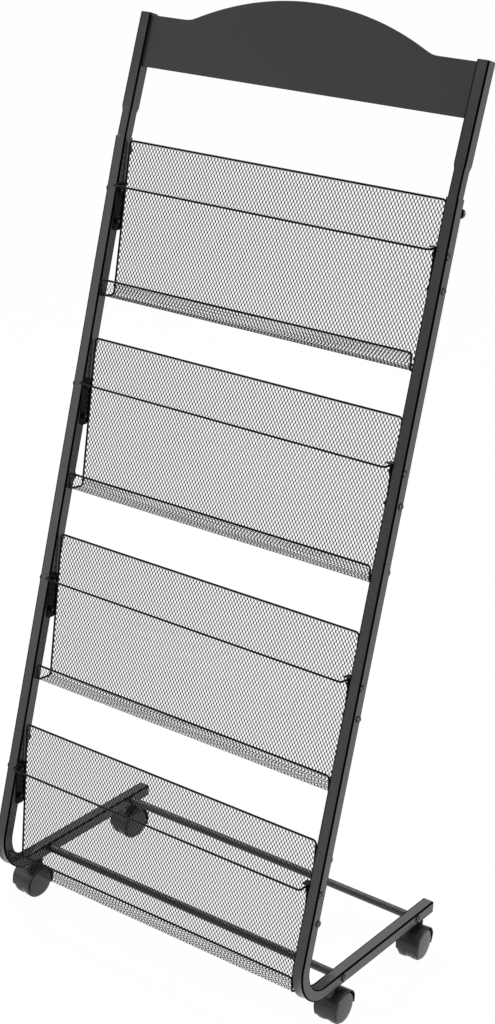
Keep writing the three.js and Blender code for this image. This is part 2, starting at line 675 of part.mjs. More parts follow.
// Wheel for x > 0: turned profile with a domed face, rounded edges and a blind bore for the axle.
function casterWheel() {
  const bore = AXLE / 2 + FIT;
  const face = WHEEL_FACE / 2;
  const edge = WHEEL_WIDTH - WHEEL_DOME;
  const profile = [
    [0, WHEEL_WIDTH - AXLE_SKIN],
    [bore, WHEEL_WIDTH - AXLE_SKIN],
    [bore, 0],
    [WHEEL_RADIUS - WHEEL_EDGE, 0],
    [WHEEL_RADIUS, WHEEL_EDGE],
    [WHEEL_RADIUS, edge - WHEEL_EDGE],
    [WHEEL_RADIUS - WHEEL_EDGE_ROUND, edge - WHEEL_EDGE_ROUND],
    [face, edge],
    [face / 2, edge + WHEEL_DOME_SHOULDER],
    [0, WHEEL_WIDTH],
  ].map(([r, x]) => new THREE.Vector2(r, x));
  return new THREE.LatheGeometry(profile, WHEEL_SIDES).rotateZ(-Math.PI / 2).translate(WHEEL_X, 0, 0);
}

function caster(end, side) {
  const name = `caster_${end}_${side}`;
  const frame = new THREE.Group();
  frame.position.set(SIDES[side] * POST_X, CORNER_Y + STEM_PLACES[end], 0);
  rack.add(frame);
  addPiece(frame, `${name}_stem`, casterStem(), MATERIALS.stemSteel);
  const swivel = new THREE.Group();
  swivel.rotation.z = THREE.MathUtils.degToRad(SWIVELS[`${end}_${side}`]);
  frame.add(swivel);
  addPiece(swivel, `${name}_hood`, casterHood(), MATERIALS.hoodPlastic);
  for (const [wheel, turn] of [["wheel_a", 0], ["wheel_b", HALF_TURN]]) {
    const piece = addPiece(swivel, `${name}_${wheel}`, casterWheel(), MATERIALS.wheelPlastic);
    piece.position.set(0, TRAIL, WHEEL_RADIUS);
    piece.rotation.z = turn;
  }
}

for (const side of Object.keys(SIDES)) {
  jFoot(side);
  postSections(side);
}
headerPanel();
for (const [name, place] of Object.entries(BAR_PLACES)) {
  crossBar(name, place);
}
TIERS.forEach(basket);
for (const end of Object.keys(STEM_PLACES)) {
  for (const side of Object.keys(SIDES)) {
    caster(end, side);
  }
}

export default rack;
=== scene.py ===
# Periodical display rack on casters: leaning posts of square tube, arched header, four mesh baskets and rods.
# Shapes are worked out in millimetres in the rack's own frame, +Z up and +Y back, and stored in metres.
import json
import math

import bmesh
import bpy
import numpy as np
from mathutils import Matrix, Vector


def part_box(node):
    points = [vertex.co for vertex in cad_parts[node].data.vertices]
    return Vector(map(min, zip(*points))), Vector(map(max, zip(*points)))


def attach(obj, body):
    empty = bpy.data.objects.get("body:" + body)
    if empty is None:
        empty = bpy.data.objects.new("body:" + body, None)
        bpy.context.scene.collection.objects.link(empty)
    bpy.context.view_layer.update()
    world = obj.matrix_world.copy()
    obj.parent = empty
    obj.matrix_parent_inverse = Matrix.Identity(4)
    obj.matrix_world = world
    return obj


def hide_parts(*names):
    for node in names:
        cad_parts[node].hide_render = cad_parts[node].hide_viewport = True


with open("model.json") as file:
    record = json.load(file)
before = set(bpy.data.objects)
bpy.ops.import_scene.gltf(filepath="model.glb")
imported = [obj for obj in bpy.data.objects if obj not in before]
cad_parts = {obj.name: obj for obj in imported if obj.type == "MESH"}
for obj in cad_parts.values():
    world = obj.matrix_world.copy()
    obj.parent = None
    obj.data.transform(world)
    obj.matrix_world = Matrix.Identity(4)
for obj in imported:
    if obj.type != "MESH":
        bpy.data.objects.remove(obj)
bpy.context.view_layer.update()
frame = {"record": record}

# Studio: a pale floor that runs past the view, in a room that is dim at the horizon and bright overhead.
# Soft lamps stand on the left and behind, a strip hangs above and a small lamp stands on the right.
# The floor is nearly white to the eye and in reflections, and keeps a faint shadow.
MM = 0.001
PHOTO_HEIGHT = 1024
FLOOR_HALF = 400.0
FLOOR_ALBEDO = 0.82
FLOOR_GLOW = 0.965
ROOM_LOW = 0.3
ROOM_HIGH = 1.0
ROOM_RISE = 0.6
CAMERA_PLACE = (1.5544, -2.1183, 1.6928)
CAMERA_RIGHT = (0.80301508, 0.59467087, 0.03915778)
CAMERA_DOWN = (0.24434033, -0.26859184, -0.93174901)
FOCAL_PIXELS = 2029.5
SENSOR = 36.0
SIGHT_LENGTH = 1000.0
LAMP_TARGET = Vector((0, 0, 0.7))
# Each lamp's place, width and height in metres, and its watts.
LAMPS = {
    "left_lamp": ((-1.7, -1.5, 1.0), 1.4, 1.4, 6.0),
    "rear_lamp": ((-1.0, 2.2, 2.2), 1.6, 1.6, 5.0),
    "top_lamp": ((-1.6, 0.3, 2.5), 0.12, 2.2, 24.0),
    "right_lamp": ((2.5, -0.5, 1.1), 0.4, 0.4, 30.0),
}


def add_node(tree, kind, settings=None, inputs=None):
    """Adds one shader node; an input is a plain value, or an output socket that is linked to it."""
    node = tree.nodes.new(kind)
    for name, value in (settings or {}).items():
        setattr(node, name, value)
    for name, value in (inputs or {}).items():
        if isinstance(value, bpy.types.NodeSocket):
            tree.links.new(value, node.inputs[name])
        else:
            node.inputs[name].default_value = value
    return node


def seen_directly(tree):
    """1 for rays from the camera and for mirror-like rays, 0 for the light that falls on the object."""
    path = add_node(tree, "ShaderNodeLightPath")
    mirror = add_node(tree, "ShaderNodeMath", {"operation": "MAXIMUM"},
                      {0: path.outputs["Is Glossy Ray"], 1: path.outputs["Is Transmission Ray"]})
    return add_node(tree, "ShaderNodeMath", {"operation": "MAXIMUM"},
                    {0: path.outputs["Is Camera Ray"], 1: mirror.outputs[0]}).outputs[0]


world = bpy.data.worlds.new("studio_room")
bpy.context.scene.world = world
world.use_nodes = True
world.node_tree.nodes.clear()
room = world.node_tree
gaze = add_node(room, "ShaderNodeTexCoord").outputs["Generated"]
heading = add_node(room, "ShaderNodeSeparateXYZ", None, {0: gaze})
level = add_node(room, "ShaderNodeMapRange", {"interpolation_type": "SMOOTHSTEP"},
                 {"Value": heading.outputs["Z"], "From Min": 0.0, "From Max": ROOM_RISE, "To Min": ROOM_LOW,
                  "To Max": ROOM_HIGH})
wall = add_node(room, "ShaderNodeBackground", None, {"Color": (1, 1, 1, 1), "Strength": level.outputs[0]})
add_node(room, "ShaderNodeOutputWorld", None, {"Surface": wall.outputs[0]})

floor_mesh = bpy.data.meshes.new("floor")
floor_corners = [(-1, -1, 0), (1, -1, 0), (1, 1, 0), (-1, 1, 0)]
floor_mesh.from_pydata([(FLOOR_HALF * x, FLOOR_HALF * y, z) for x, y, z in floor_corners], [], [(0, 1, 2, 3)])
floor = bpy.data.objects.new("floor", floor_mesh)
bpy.context.scene.collection.objects.link(floor)
floor_paint = bpy.data.materials.new("pale_studio_floor")
floor_paint.use_nodes = True
floor_paint.node_tree.nodes.clear()
ground = floor_paint.node_tree
floor_tone = (FLOOR_ALBEDO, FLOOR_ALBEDO, FLOOR_ALBEDO, 1)
matt = add_node(ground, "ShaderNodeBsdfDiffuse", None, {"Color": floor_tone})
glow = add_node(ground, "ShaderNodeEmission", None, {"Color": (1, 1, 1, 1), "Strength": 1.0})
share = add_node(ground, "ShaderNodeMath", {"operation": "MULTIPLY"},
                 {0: seen_directly(ground), 1: FLOOR_GLOW})
both = add_node(ground, "ShaderNodeMixShader", None,
                {0: share.outputs[0], 1: matt.outputs[0], 2: glow.outputs[0]})
add_node(ground, "ShaderNodeOutputMaterial", None, {"Surface": both.outputs[0]})
floor_mesh.materials.append(floor_paint)

for lamp_name, (place, width, height, watts) in LAMPS.items():
    lamp = bpy.data.lights.new(lamp_name, "AREA")
    lamp.shape = "RECTANGLE"
    lamp.size = width
    lamp.size_y = height
    lamp.energy = watts
    lamp_object = bpy.data.objects.new(lamp_name, lamp)
    lamp_object.location = place
    lamp_object.rotation_euler = (LAMP_TARGET - Vector(place)).to_track_quat("-Z", "Y").to_euler()
    bpy.context.scene.collection.objects.link(lamp_object)

camera = bpy.data.objects.new("camera", bpy.data.cameras.new("camera"))
bpy.context.scene.collection.objects.link(camera)
right = np.array(CAMERA_RIGHT)
down = np.array(CAMERA_DOWN)
ahead = np.cross(right, down)
turn = Matrix(np.column_stack([right, -down, -ahead]).tolist()).to_4x4()
camera.matrix_world = Matrix.Translation(CAMERA_PLACE) @ turn
camera.data.sensor_width = SENSOR
camera.data.lens = FOCAL_PIXELS / PHOTO_HEIGHT * SENSOR
camera.data.clip_end = SIGHT_LENGTH
bpy.context.scene.camera = camera
bpy.context.scene.view_settings.view_transform = "Standard"

# J-feet: the lower end of each post and its foot are one square steel tube, bent round a small former.
# The bend crushes its inner wall into a trough and draws its outer wall slightly hollow; satin powder coat.
BEND_RADIUS = 52.0
POST_LEAN = 14.0
FOOT_LEG = 241.3
CORNER_ROUND = 1.7
# The crushed trough: how deep it is, where it starts and ends, how it fades in and out, and its V across.
CRUSH = 8.0
CRUSH_LEAD = 6.0
CRUSH_TAIL = 34.0
CRUSH_FADE_IN = 22.0
CRUSH_FADE_OUT = 34.0
VALLEY_ROUND = 0.15
VALLEY_EDGE = 0.8
WALL_FALL = 1.6
DRAWN_IN = 1.3
EDGE_BREAK = 0.15
EDGE_FADE = 1.0
# Where the tube has rings of points: close together in the bend and just before and past it.
LEAD_GAP = 30.0
LEAD_RUN = 20.0
LEAD_POINTS = 6
BEND_STEPS = 34
TAIL_RUN = 40.0
TAIL_POINTS = 20
FOOT_FLAT_STEPS = 12
SAME_POINT = 1e-7
SIDES = {"left": -1, "right": 1}


def node_box(node):
    """Low and high corner of one of the frame's solids, in millimetres."""
    return [np.array(corner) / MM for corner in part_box(node)]


LEAN = math.radians(POST_LEAN)
foot_low, foot_high = node_box("j_foot_right")
TUBE = foot_high[0] - foot_low[0]
POST_X = (foot_high[0] + foot_low[0]) / 2
FOOT_UNDER = foot_low[2]
bend_turn = math.pi / 2 + LEAN
bend_reach = BEND_RADIUS * math.tan(bend_turn / 2)
centre_corner = TUBE / 2 * (1 + math.sin(LEAN)) / math.cos(LEAN)
CORNER_Y = foot_low[1] - (centre_corner + bend_reach - BEND_RADIUS - TUBE / 2)


def on_post(x, back, up):
    """Rack point from a place on a post: x, distance back from its front face, distance up along it."""
    x, back, up = np.broadcast_arrays(np.asarray(x, float), back, up)
    y = CORNER_Y + up * math.sin(LEAN) + back * math.cos(LEAN)
    z = FOOT_UNDER + up * math.cos(LEAN) - back * math.sin(LEAN)
    return np.stack([x, y, z], -1)


def rounded_square(size, corner, flat_steps=2, corner_steps=4):
    """Points of a square with round corners, counter-clockwise: straight flats joined by quarter circles."""
    half = size / 2
    flat = half - corner
    run = np.concatenate([[-flat], np.linspace(EDGE_FADE - flat, flat - EDGE_FADE, flat_steps + 1), [flat]])
    arc = np.linspace(0, math.pi / 2, corner_steps + 1)[1:-1]
    side = np.column_stack([run, np.full_like(run, -half)])
    turn_points = np.column_stack([flat + corner * np.sin(arc), -flat - corner * np.cos(arc)])
    quarter = np.vstack([side, turn_points])
    quarter_turn = np.array([[0, 1], [-1, 0]])
    turns = [quarter]
    for _ in range(3):
        turns.append(turns[-1] @ quarter_turn)
    return np.vstack(turns)


def corner_weight(section):
    """Weight of the painted corner shade: 1 on the round corners of a square section and 0 on its flats."""
    near = np.sort(np.abs(section), axis=1)
    half = near[:, 1].max()
    return (near[:, 0] > half - CORNER_ROUND * 2 * half / TUBE - EDGE_FADE / 2).astype(float)


def smooth_step(t):
    """0 below t = 0, 1 above t = 1, and 3t^2 - 2t^3 between."""
    t = np.clip(t, 0, 1)
    return t * t * (3 - 2 * t)


def make_piece(name, grids, body, nodes, material, sharp=40, merge=True, edges=None):
    """One piece from grids of points in millimetres, rings by points. Each ring closes on itself, and a grid
    with caps has its first and last ring filled. Edges past the sharp angle in degrees show as creases, and
    edges= gives weights round a ring for the painted shade that darkens the corners."""
    points, faces, first = [], [], 0
    for grid, caps in grids:
        rings, count = grid.shape[:2]
        ring = np.arange(rings - 1)[:, None] * count
        here = np.arange(count)[None, :]
        beside = (here + 1) % count
        quads = np.stack([ring + here, ring + beside, ring + count + beside, ring + count + here], -1)
        faces.extend((quads.reshape(-1, 4) + first).tolist())
        if caps:
            faces.append((np.arange(count)[::-1] + first).tolist())
            faces.append((np.arange(count) + first + (rings - 1) * count).tolist())
        points.append(grid.reshape(-1, 3))
        first += rings * count
    mesh = bpy.data.meshes.new(name)
    mesh.from_pydata(np.vstack(points) * MM, [], faces)
    if edges is not None:
        weights = np.tile(edges, len(mesh.vertices) // len(edges))
        mesh.attributes.new("painted_corner_shade", "FLOAT", "POINT").data.foreach_set("value", weights)
    if merge:
        shell = bmesh.new()
        shell.from_mesh(mesh)
        bmesh.ops.remove_doubles(shell, verts=shell.verts, dist=SAME_POINT)
        bmesh.ops.recalc_face_normals(shell, faces=shell.faces)
        shell.to_mesh(mesh)
        shell.free()
    mesh.polygons.foreach_set("use_smooth", np.ones(len(mesh.polygons), bool))
    mesh.set_sharp_from_angle(angle=math.radians(sharp))
    mesh.materials.append(material)
    piece = bpy.data.objects.new(name, mesh)
    bpy.context.scene.collection.objects.link(piece)
    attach(piece, body)
    if nodes:
        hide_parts(*nodes)


def srgb(code):
    """sRGB hex colour as linear RGBA: c / 12.92 below 0.04045, else ((c + 0.055) / 1.055) ^ 2.4."""
    c = np.array([int(code[i:i + 2], 16) for i in (1, 3, 5)]) / 255
    linear = np.where(c <= 0.04045, c / 12.92, ((c + 0.055) / 1.055) ** 2.4)
    return (*linear.tolist(), 1.0)


def blank_material(name):
    """New material with one node so far: the material, its tree and the piece's own coordinates."""
    material = bpy.data.materials.new(name)
    material.use_nodes = True
    tree = material.node_tree
    tree.nodes.clear()
    return material, tree, add_node(tree, "ShaderNodeTexCoord").outputs["Object"]


GRAIN_SHARE = 0.55
TONE_LOW, TONE_HIGH = 0.35, 0.65
GLOSS_LOW, GLOSS_HIGH = 0.3, 0.7
COAT_GLOSS_SPREAD = 0.06
COAT_SKIN = 0.15
# Painted shade for the round tube corners: a near-black colour that stands in for the dark lines shade draws
# there.
CORNER_SHADE_PAINT = "#060606"


def coated_metal(name, dark, light, mottle_mm, grain_mm, roughness, bump, ior):
    """Baked powder coat on steel: two close tones in soft drifts, a fine orange-peel skin and uneven gloss.
    On the round corners the colour is painted shade, dull and nearly black, with no highlight, for the dark
    corner lines."""
    paint, tree, place = blank_material(name)
    drift = add_node(tree, "ShaderNodeTexNoise", None,
                     {"Vector": place, "Scale": 1 / (mottle_mm * MM), "Detail": 3.0, "Roughness": 0.6})
    grain = add_node(tree, "ShaderNodeTexNoise", None,
                     {"Vector": place, "Scale": 1 / (grain_mm * MM), "Detail": 2.0, "Roughness": 0.5})
    fine = add_node(tree, "ShaderNodeMath", {"operation": "MULTIPLY"},
                    {0: grain.outputs["Fac"], 1: GRAIN_SHARE})
    drift_and_grain = add_node(tree, "ShaderNodeMath", {"operation": "MULTIPLY_ADD"},
                               {0: drift.outputs["Fac"], 1: 1 - GRAIN_SHARE, 2: fine.outputs[0]})
    tone = add_node(tree, "ShaderNodeMapRange", None,
                    {"Value": drift_and_grain.outputs[0], "From Min": TONE_LOW, "From Max": TONE_HIGH})
    # A colour mix takes its two colours at inputs 6 and 7, and gives the blend at output 2.
    colour = add_node(tree, "ShaderNodeMix", {"data_type": "RGBA"},
                      {0: tone.outputs[0], 6: srgb(dark), 7: srgb(light)})
    gloss = add_node(tree, "ShaderNodeMapRange", None,
                     {"Value": grain.outputs["Fac"], "From Min": GLOSS_LOW, "From Max": GLOSS_HIGH,
                      "To Min": roughness - COAT_GLOSS_SPREAD, "To Max": roughness + COAT_GLOSS_SPREAD})
    skin = add_node(tree, "ShaderNodeBump", None,
                    {"Height": grain.outputs["Fac"], "Strength": bump, "Distance": COAT_SKIN * MM})
    # Painted corner shade: black, fully rough and metallic there, so the corners reflect nearly nothing.
    corner = add_node(tree, "ShaderNodeAttribute", {"attribute_name": "painted_corner_shade"}).outputs["Fac"]
    corner_shaded = add_node(tree, "ShaderNodeMix", {"data_type": "RGBA"},
                    {0: corner, 6: colour.outputs[2], 7: srgb(CORNER_SHADE_PAINT)})
    dull = add_node(tree, "ShaderNodeMath", {"operation": "MAXIMUM"}, {0: gloss.outputs[0], 1: corner})
    shader = add_node(tree, "ShaderNodeBsdfPrincipled", None,
                      {"Base Color": corner_shaded.outputs[2], "Roughness": dull.outputs[0], "Metallic": corner,
                       "IOR": ior, "Normal": skin.outputs[0]})
    add_node(tree, "ShaderNodeOutputMaterial", None, {"Surface": shader.outputs[0]})
    return paint


# Satin charcoal faces between fine black corner lines of painted shade.
# The coat's grain is about 0.3 mm on the rack and is drawn at 1.1 mm so that it shows.
frame_coat = coated_metal("charcoal_powder_coat", "#202021", "#2a2a2b", mottle_mm=70.0, grain_mm=1.1,
                          roughness=0.27, bump=0.2, ior=1.54)


def foot_path(along):
    """Centre line of post and foot at a length from the leg's top: straight, round the bend, straight. Gives
    the points, the directions to the inside of the bend, and the lengths of the leg and of the bend."""
    top = on_post(0, TUBE / 2, FOOT_LEG)
    corner = np.array([0, CORNER_Y + centre_corner, FOOT_UNDER + TUBE / 2])
    leg = np.linalg.norm(corner - top) - bend_reach
    centre = np.array([0, corner[1] + bend_reach, corner[2] + BEND_RADIUS])
    arc = BEND_RADIUS * bend_turn
    turned = np.clip((along - leg) / BEND_RADIUS, 0, bend_turn)
    tangent = np.stack([0 * turned, -np.sin(LEAN - turned), -np.cos(LEAN - turned)], -1)
    inward = np.stack([0 * turned, np.cos(LEAN - turned), -np.sin(LEAN - turned)], -1)
    on_arc = centre - BEND_RADIUS * inward
    straight = np.minimum(along - leg, 0)[:, None] + np.maximum(along - leg - arc, 0)[:, None]
    return on_arc + straight * tangent, inward, leg, arc


_, _, LEG_RUN, BEND_RUN = foot_path(np.zeros(1))
FOOT_RUN = foot_high[1] - (CORNER_Y + centre_corner + bend_reach)
bend_end = LEG_RUN + BEND_RUN
foot_end = bend_end + FOOT_RUN
foot_stations = np.unique(np.concatenate([
    [0, EDGE_BREAK, LEG_RUN - LEAD_GAP],
    np.linspace(LEG_RUN - LEAD_RUN, LEG_RUN, LEAD_POINTS),
    np.linspace(LEG_RUN, bend_end, BEND_STEPS + 1),
    np.linspace(bend_end, bend_end + TAIL_RUN, TAIL_POINTS),
    [foot_end - EDGE_BREAK, foot_end],
]))


def foot_grid(x):
    """Square section carried along the foot path. The inner wall sinks by CRUSH times a window along the bend
    and a round-bottomed V across the face, and the outer wall is drawn in the same way by DRAWN_IN."""
    centre, inward, _, _ = foot_path(foot_stations)
    section = rounded_square(TUBE, CORNER_ROUND, FOOT_FLAT_STEPS)
    across, depth = section[:, 0], section[:, 1]
    ends = np.minimum(foot_stations, foot_stations[-1] - foot_stations)
    shrink = 1 - np.where(ends < EDGE_BREAK / 2, EDGE_BREAK / (TUBE / 2), 0)
    window = (smooth_step((foot_stations - LEG_RUN + CRUSH_LEAD) / CRUSH_FADE_IN)
              * smooth_step((bend_end + CRUSH_TAIL - foot_stations) / CRUSH_FADE_OUT))
    bowl = np.clip(1 - np.hypot(across / (TUBE / 2 - VALLEY_EDGE), VALLEY_ROUND), 0, 1) / (1 - VALLEY_ROUND)
    inner_wall = smooth_step(1 - WALL_FALL * (1 - depth / (TUBE / 2)))
    outer_wall = smooth_step(1 - WALL_FALL * (1 + depth / (TUBE / 2)))
    sunk = window[:, None] * bowl[None, :] * (DRAWN_IN * outer_wall - CRUSH * inner_wall)[None, :]
    a = across[None, :] * shrink[:, None]
    d = depth[None, :] * shrink[:, None] + sunk
    grid = centre[:, None, :] + d[..., None] * inward[:, None, :]
    grid[..., 0] += x + a
    return grid


# Weights of the painted corner shade round a ring of the foot and of the straight tubes.
foot_edges = corner_weight(rounded_square(TUBE, CORNER_ROUND, FOOT_FLAT_STEPS))
for side, sign in SIDES.items():
    make_piece(f"foot_tube_{side}", [(foot_grid(sign * POST_X), True)], "frame",
               [f"j_foot_{side}"], frame_coat, edges=foot_edges)

# Post tubes: straight square tube in two lengths on each side above the foot, with the same coat.
# Each is swaged at its lower end to a neck that plugs into the length below, so that only a fine seam shows.
MIDDLE_LENGTH = 402.0
UPPER_LENGTH = 478.0
NECK = 15.4
NECK_HIDDEN = 20.0
SEAM = 0.3

middle_top = FOOT_LEG + MIDDLE_LENGTH
upper_top = middle_top + UPPER_LENGTH


def tube_grid(place, x, ups, sizes):
    """Square section carried straight up by a placing function, with its own size at each height."""
    rings = []
    for up, size in zip(ups, sizes):
        section = rounded_square(size, CORNER_ROUND * size / TUBE)
        rings.append(place(x + section[:, 0], TUBE / 2 + section[:, 1], up))
    return np.array(rings)


tube_edges = corner_weight(rounded_square(TUBE, CORNER_ROUND))
tube_runs = (("middle_tube", FOOT_LEG, middle_top), ("upper_tube", middle_top, upper_top))
for side, sign in SIDES.items():
    for tube_name, foot, top in tube_runs:
        foot += SEAM
        ups = [foot - NECK_HIDDEN, foot, foot, foot + EDGE_BREAK, top - EDGE_BREAK, top]
        sizes = [NECK, NECK, TUBE - 2 * EDGE_BREAK, TUBE, TUBE, TUBE - 2 * EDGE_BREAK]
        grid = tube_grid(on_post, sign * POST_X, ups, sizes)
        make_piece(f"post_{tube_name}_{side}", [(grid, True)], "frame", [f"{tube_name}_{side}"],
                   frame_coat, edges=tube_edges)

# Header legs: short lengths of the same tube, not pushed fully home, so that a swaged neck shows below each.
# The necks are bent so that the header leans back a little further than the posts.
NECK_SHOWN = 36.0
HEADER_LEG = 137.0
SWAGE = 5.0
SWAGE_START = 1.0
SWAGE_LIP = 0.4
SWAGE_LIP_RUN = 2.0

header_axis = next(m["axis"] for m in frame["record"]["mounts"] if m["name"] == "header_front")
HEADER_TILT = math.atan2(header_axis[2], -header_axis[1]) - LEAN
LEG_TOP = NECK_SHOWN + HEADER_LEG


def on_header(x, back, up):
    """Rack point from a place on the header: x, back from the leg fronts, up from the top of the posts."""
    x, back, up = np.broadcast_arrays(np.asarray(x, float), back, up)
    deep = back - TUBE / 2
    return on_post(x, TUBE / 2 + deep * math.cos(HEADER_TILT) + up * math.sin(HEADER_TILT),
                   upper_top + up * math.cos(HEADER_TILT) - deep * math.sin(HEADER_TILT))


swage_end = NECK_SHOWN + SWAGE
leg_ups = [-NECK_HIDDEN, 0, NECK_SHOWN - SWAGE_START, swage_end, swage_end + SWAGE_LIP_RUN,
           LEG_TOP - EDGE_BREAK, LEG_TOP]
leg_sizes = [NECK, NECK, NECK, TUBE - SWAGE_LIP, TUBE, TUBE, TUBE - 2 * EDGE_BREAK]
neck_section = rounded_square(NECK, CORNER_ROUND * NECK / TUBE)
for side, sign in SIDES.items():
    grid = tube_grid(on_header, sign * POST_X, leg_ups, leg_sizes)
    neck_x = sign * POST_X + neck_section[:, 0]
    grid[0] = on_post(neck_x, TUBE / 2 + neck_section[:, 1], upper_top - NECK_HIDDEN)
    make_piece(f"post_header_leg_{side}", [(grid, True)], "frame", [f"header_leg_{side}"],
               frame_coat, edges=tube_edges)

# Header: one sheet of steel set a little back between the legs, cut with level shoulders and a shallow arch.
# Its ends are folded back along the legs and welded, and its coat is a little smoother than the tubes'.
HEADER_SHEET = 1.5
HEADER_INSET = 4.0
HEADER_DROP = 73.5
SHOULDER_DROP = 1.5
ARCH_HALF = 195.0
ARCH_RISE = 45.5
ARCH_LIMIT = 1.2
NOTCH_FILLET = 1.6
NOTCH_REACH = 12.0
NOTCH_POINTS = 17
HEADER_POINTS = 121
HEADER_EDGE = 0.35
FLANGE_DEPTH = 9.0

# An even, nearly matt charcoal. Its grain is drawn at 1.3 mm so that it shows.
header_coat = coated_metal("header_powder_coat", "#1c1c1d", "#222223", mottle_mm=160.0, grain_mm=1.3,
                           roughness=0.42, bump=0.25, ior=1.5)


def arch_height(x):
    """Top edge of the header: the greater of shoulder and circular arch, softened over the notch."""
    radius = (ARCH_HALF ** 2 + ARCH_RISE ** 2) / (2 * ARCH_RISE)
    shoulder = LEG_TOP - SHOULDER_DROP
    out = np.clip(np.abs(x), 0, ARCH_LIMIT * ARCH_HALF)
    arch = shoulder + ARCH_RISE - radius + np.sqrt(radius ** 2 - out ** 2)
    return shoulder + NOTCH_FILLET * np.logaddexp(0, (arch - shoulder) / NOTCH_FILLET)


header_half = POST_X - TUBE / 2 - SEAM
header_x = np.unique(np.concatenate([
    np.linspace(-header_half, header_half, HEADER_POINTS),
    np.linspace(ARCH_HALF - NOTCH_REACH, ARCH_HALF + NOTCH_REACH, NOTCH_POINTS),
    np.linspace(-ARCH_HALF - NOTCH_REACH, -ARCH_HALF + NOTCH_REACH, NOTCH_POINTS),
]))
header_low = LEG_TOP - HEADER_DROP
header_high = arch_height(header_x)
edge = HEADER_EDGE
header_ring = [(0, 1, edge), (0, 0, edge), (edge, 0, 0), (HEADER_SHEET - edge, 0, 0), (HEADER_SHEET, 0, edge),
               (HEADER_SHEET, 1, edge), (HEADER_SHEET - edge, 1, 0), (edge, 1, 0)]
header_grid = np.stack([
    on_header(header_x, HEADER_INSET + back, np.where(high, header_high - inset, header_low + inset))
    for back, high, inset in header_ring], 1)
header_grids = [(header_grid, True)]
flange_back = HEADER_INSET + HEADER_SHEET / 2 + np.array([0, FLANGE_DEPTH])
flange_high = LEG_TOP - SHOULDER_DROP - edge
flange_low = header_low + edge
flange_inner = header_half - HEADER_SHEET
flange_ring = [(header_half, flange_low), (header_half, flange_high), (flange_inner, flange_high),
               (flange_inner, flange_low)]
for sign in SIDES.values():
    flange = np.stack([on_header(sign * x, flange_back, up) for x, up in flange_ring], 1)
    header_grids.append((flange, True))
make_piece("header_sheet", header_grids, "frame", ["header_panel"], header_coat)

# Cross bars: two round steel tubes between the feet, with the same coat as the posts.
# Their ends are butted to the inner faces of the feet, and a bolt through each foot holds them.
BAR_ROUND = 40
BAR_EDGE = 0.4
X_AXIS, Y_AXIS, Z_AXIS = np.eye(3)


def round_angles(count):
    """Angles of count points spread evenly round a circle."""
    return np.linspace(0, 2 * math.pi, count, endpoint=False)


def turned_grid(profile, place, along, across, count):
    """Profile of (radius, length) pairs turned about an axis: place + length * along + radius * round."""
    along, across = np.asarray(along, float), np.asarray(across, float)
    other = np.cross(along, across)
    angle = round_angles(count)
    circle = np.cos(angle)[:, None] * across + np.sin(angle)[:, None] * other
    profile = np.asarray(profile, float)
    return np.asarray(place, float) + profile[:, 1, None, None] * along + profile[:, 0, None, None] * circle


for end in ("front", "rear"):
    low, high = node_box(f"cross_bar_{end}")
    radius, half = (high[2] - low[2]) / 2, high[0]
    profile = [(radius - BAR_EDGE, -half), (radius, BAR_EDGE - half), (radius, half - BAR_EDGE),
               (radius - BAR_EDGE, half)]
    middle = (0, (low[1] + high[1]) / 2, (low[2] + high[2]) / 2)
    grid = turned_grid(profile, middle, X_AXIS, Z_AXIS, BAR_ROUND)
    make_piece(f"cross_tube_{end}", [(grid, True)], "frame", [f"cross_bar_{end}"], frame_coat)

# Basket rims: 3 mm steel wire bent into one loop round back panel, tray ends and lip, and dipped black.
# A folded side bracket with two weld nuts is welded on at each end, against the inner face of the post.
WIRE = 3.0
WIRE_ROUND = 12
WIRE_BEND_STEPS = 8
WIRE_SLANT = (0.3, 0.5, 0.81)
BOLT_TO_RIM = 69.5
BOLT_TO_PANEL = 10.5
PANEL_HEIGHT = 220.0
TRAY_DEPTH = 28.5
LIP_HEIGHT = 24.0
LIP_FLARE = 3.3
RIM_BEND = 6.0
TRAY_BEND = 5.0
BRACKET_SHEET = 1.5
BRACKET_HEIGHT = 68.0
BRACKET_FRONT = 6.0
BRACKET_CORNER = 4.0
LEDGE_WIDTH = 8.0
LEDGE_RISE = 8.8
LEDGE_BACK = 8.0
LEDGE_FLAT = 0.1
NUT_SIDES = 6
NUT_ACROSS = 8.0
NUT_HEIGHT = 3.0
BOLT_PITCH = 44.0
BASKETS = (1, 2, 3, 4)

# Deep black with a narrow, weak highlight, to which the low IOR is matched.
# The grain is drawn at 0.9 mm so that it shows.
wire_coat = coated_metal("black_dipped_wire", "#050505", "#0a0a0a", mottle_mm=40.0, grain_mm=0.9,
                         roughness=0.18, bump=0.1, ior=1.18)


def basket_frame(number):
    """Origin at the upper bolt, with the basket's own back and up, from the two bolts on one side."""
    upper = np.mean(node_box(f"basket_bolt_{number}_upper_right"), 0)
    lower = np.mean(node_box(f"basket_bolt_{number}_lower_right"), 0)
    up = (upper - lower) / np.linalg.norm(upper - lower)
    up[0] = 0
    back = np.array([0, up[2], -up[1]])
    return np.array([0, upper[1], upper[2]]), back, up


def on_basket(frame_of_basket, local):
    """Rack point from a basket's own x, back and up."""
    origin, back, up = frame_of_basket
    local = np.asarray(local, float)
    return origin + local[..., :1] * X_AXIS + local[..., 1:2] * back + local[..., 2:] * up


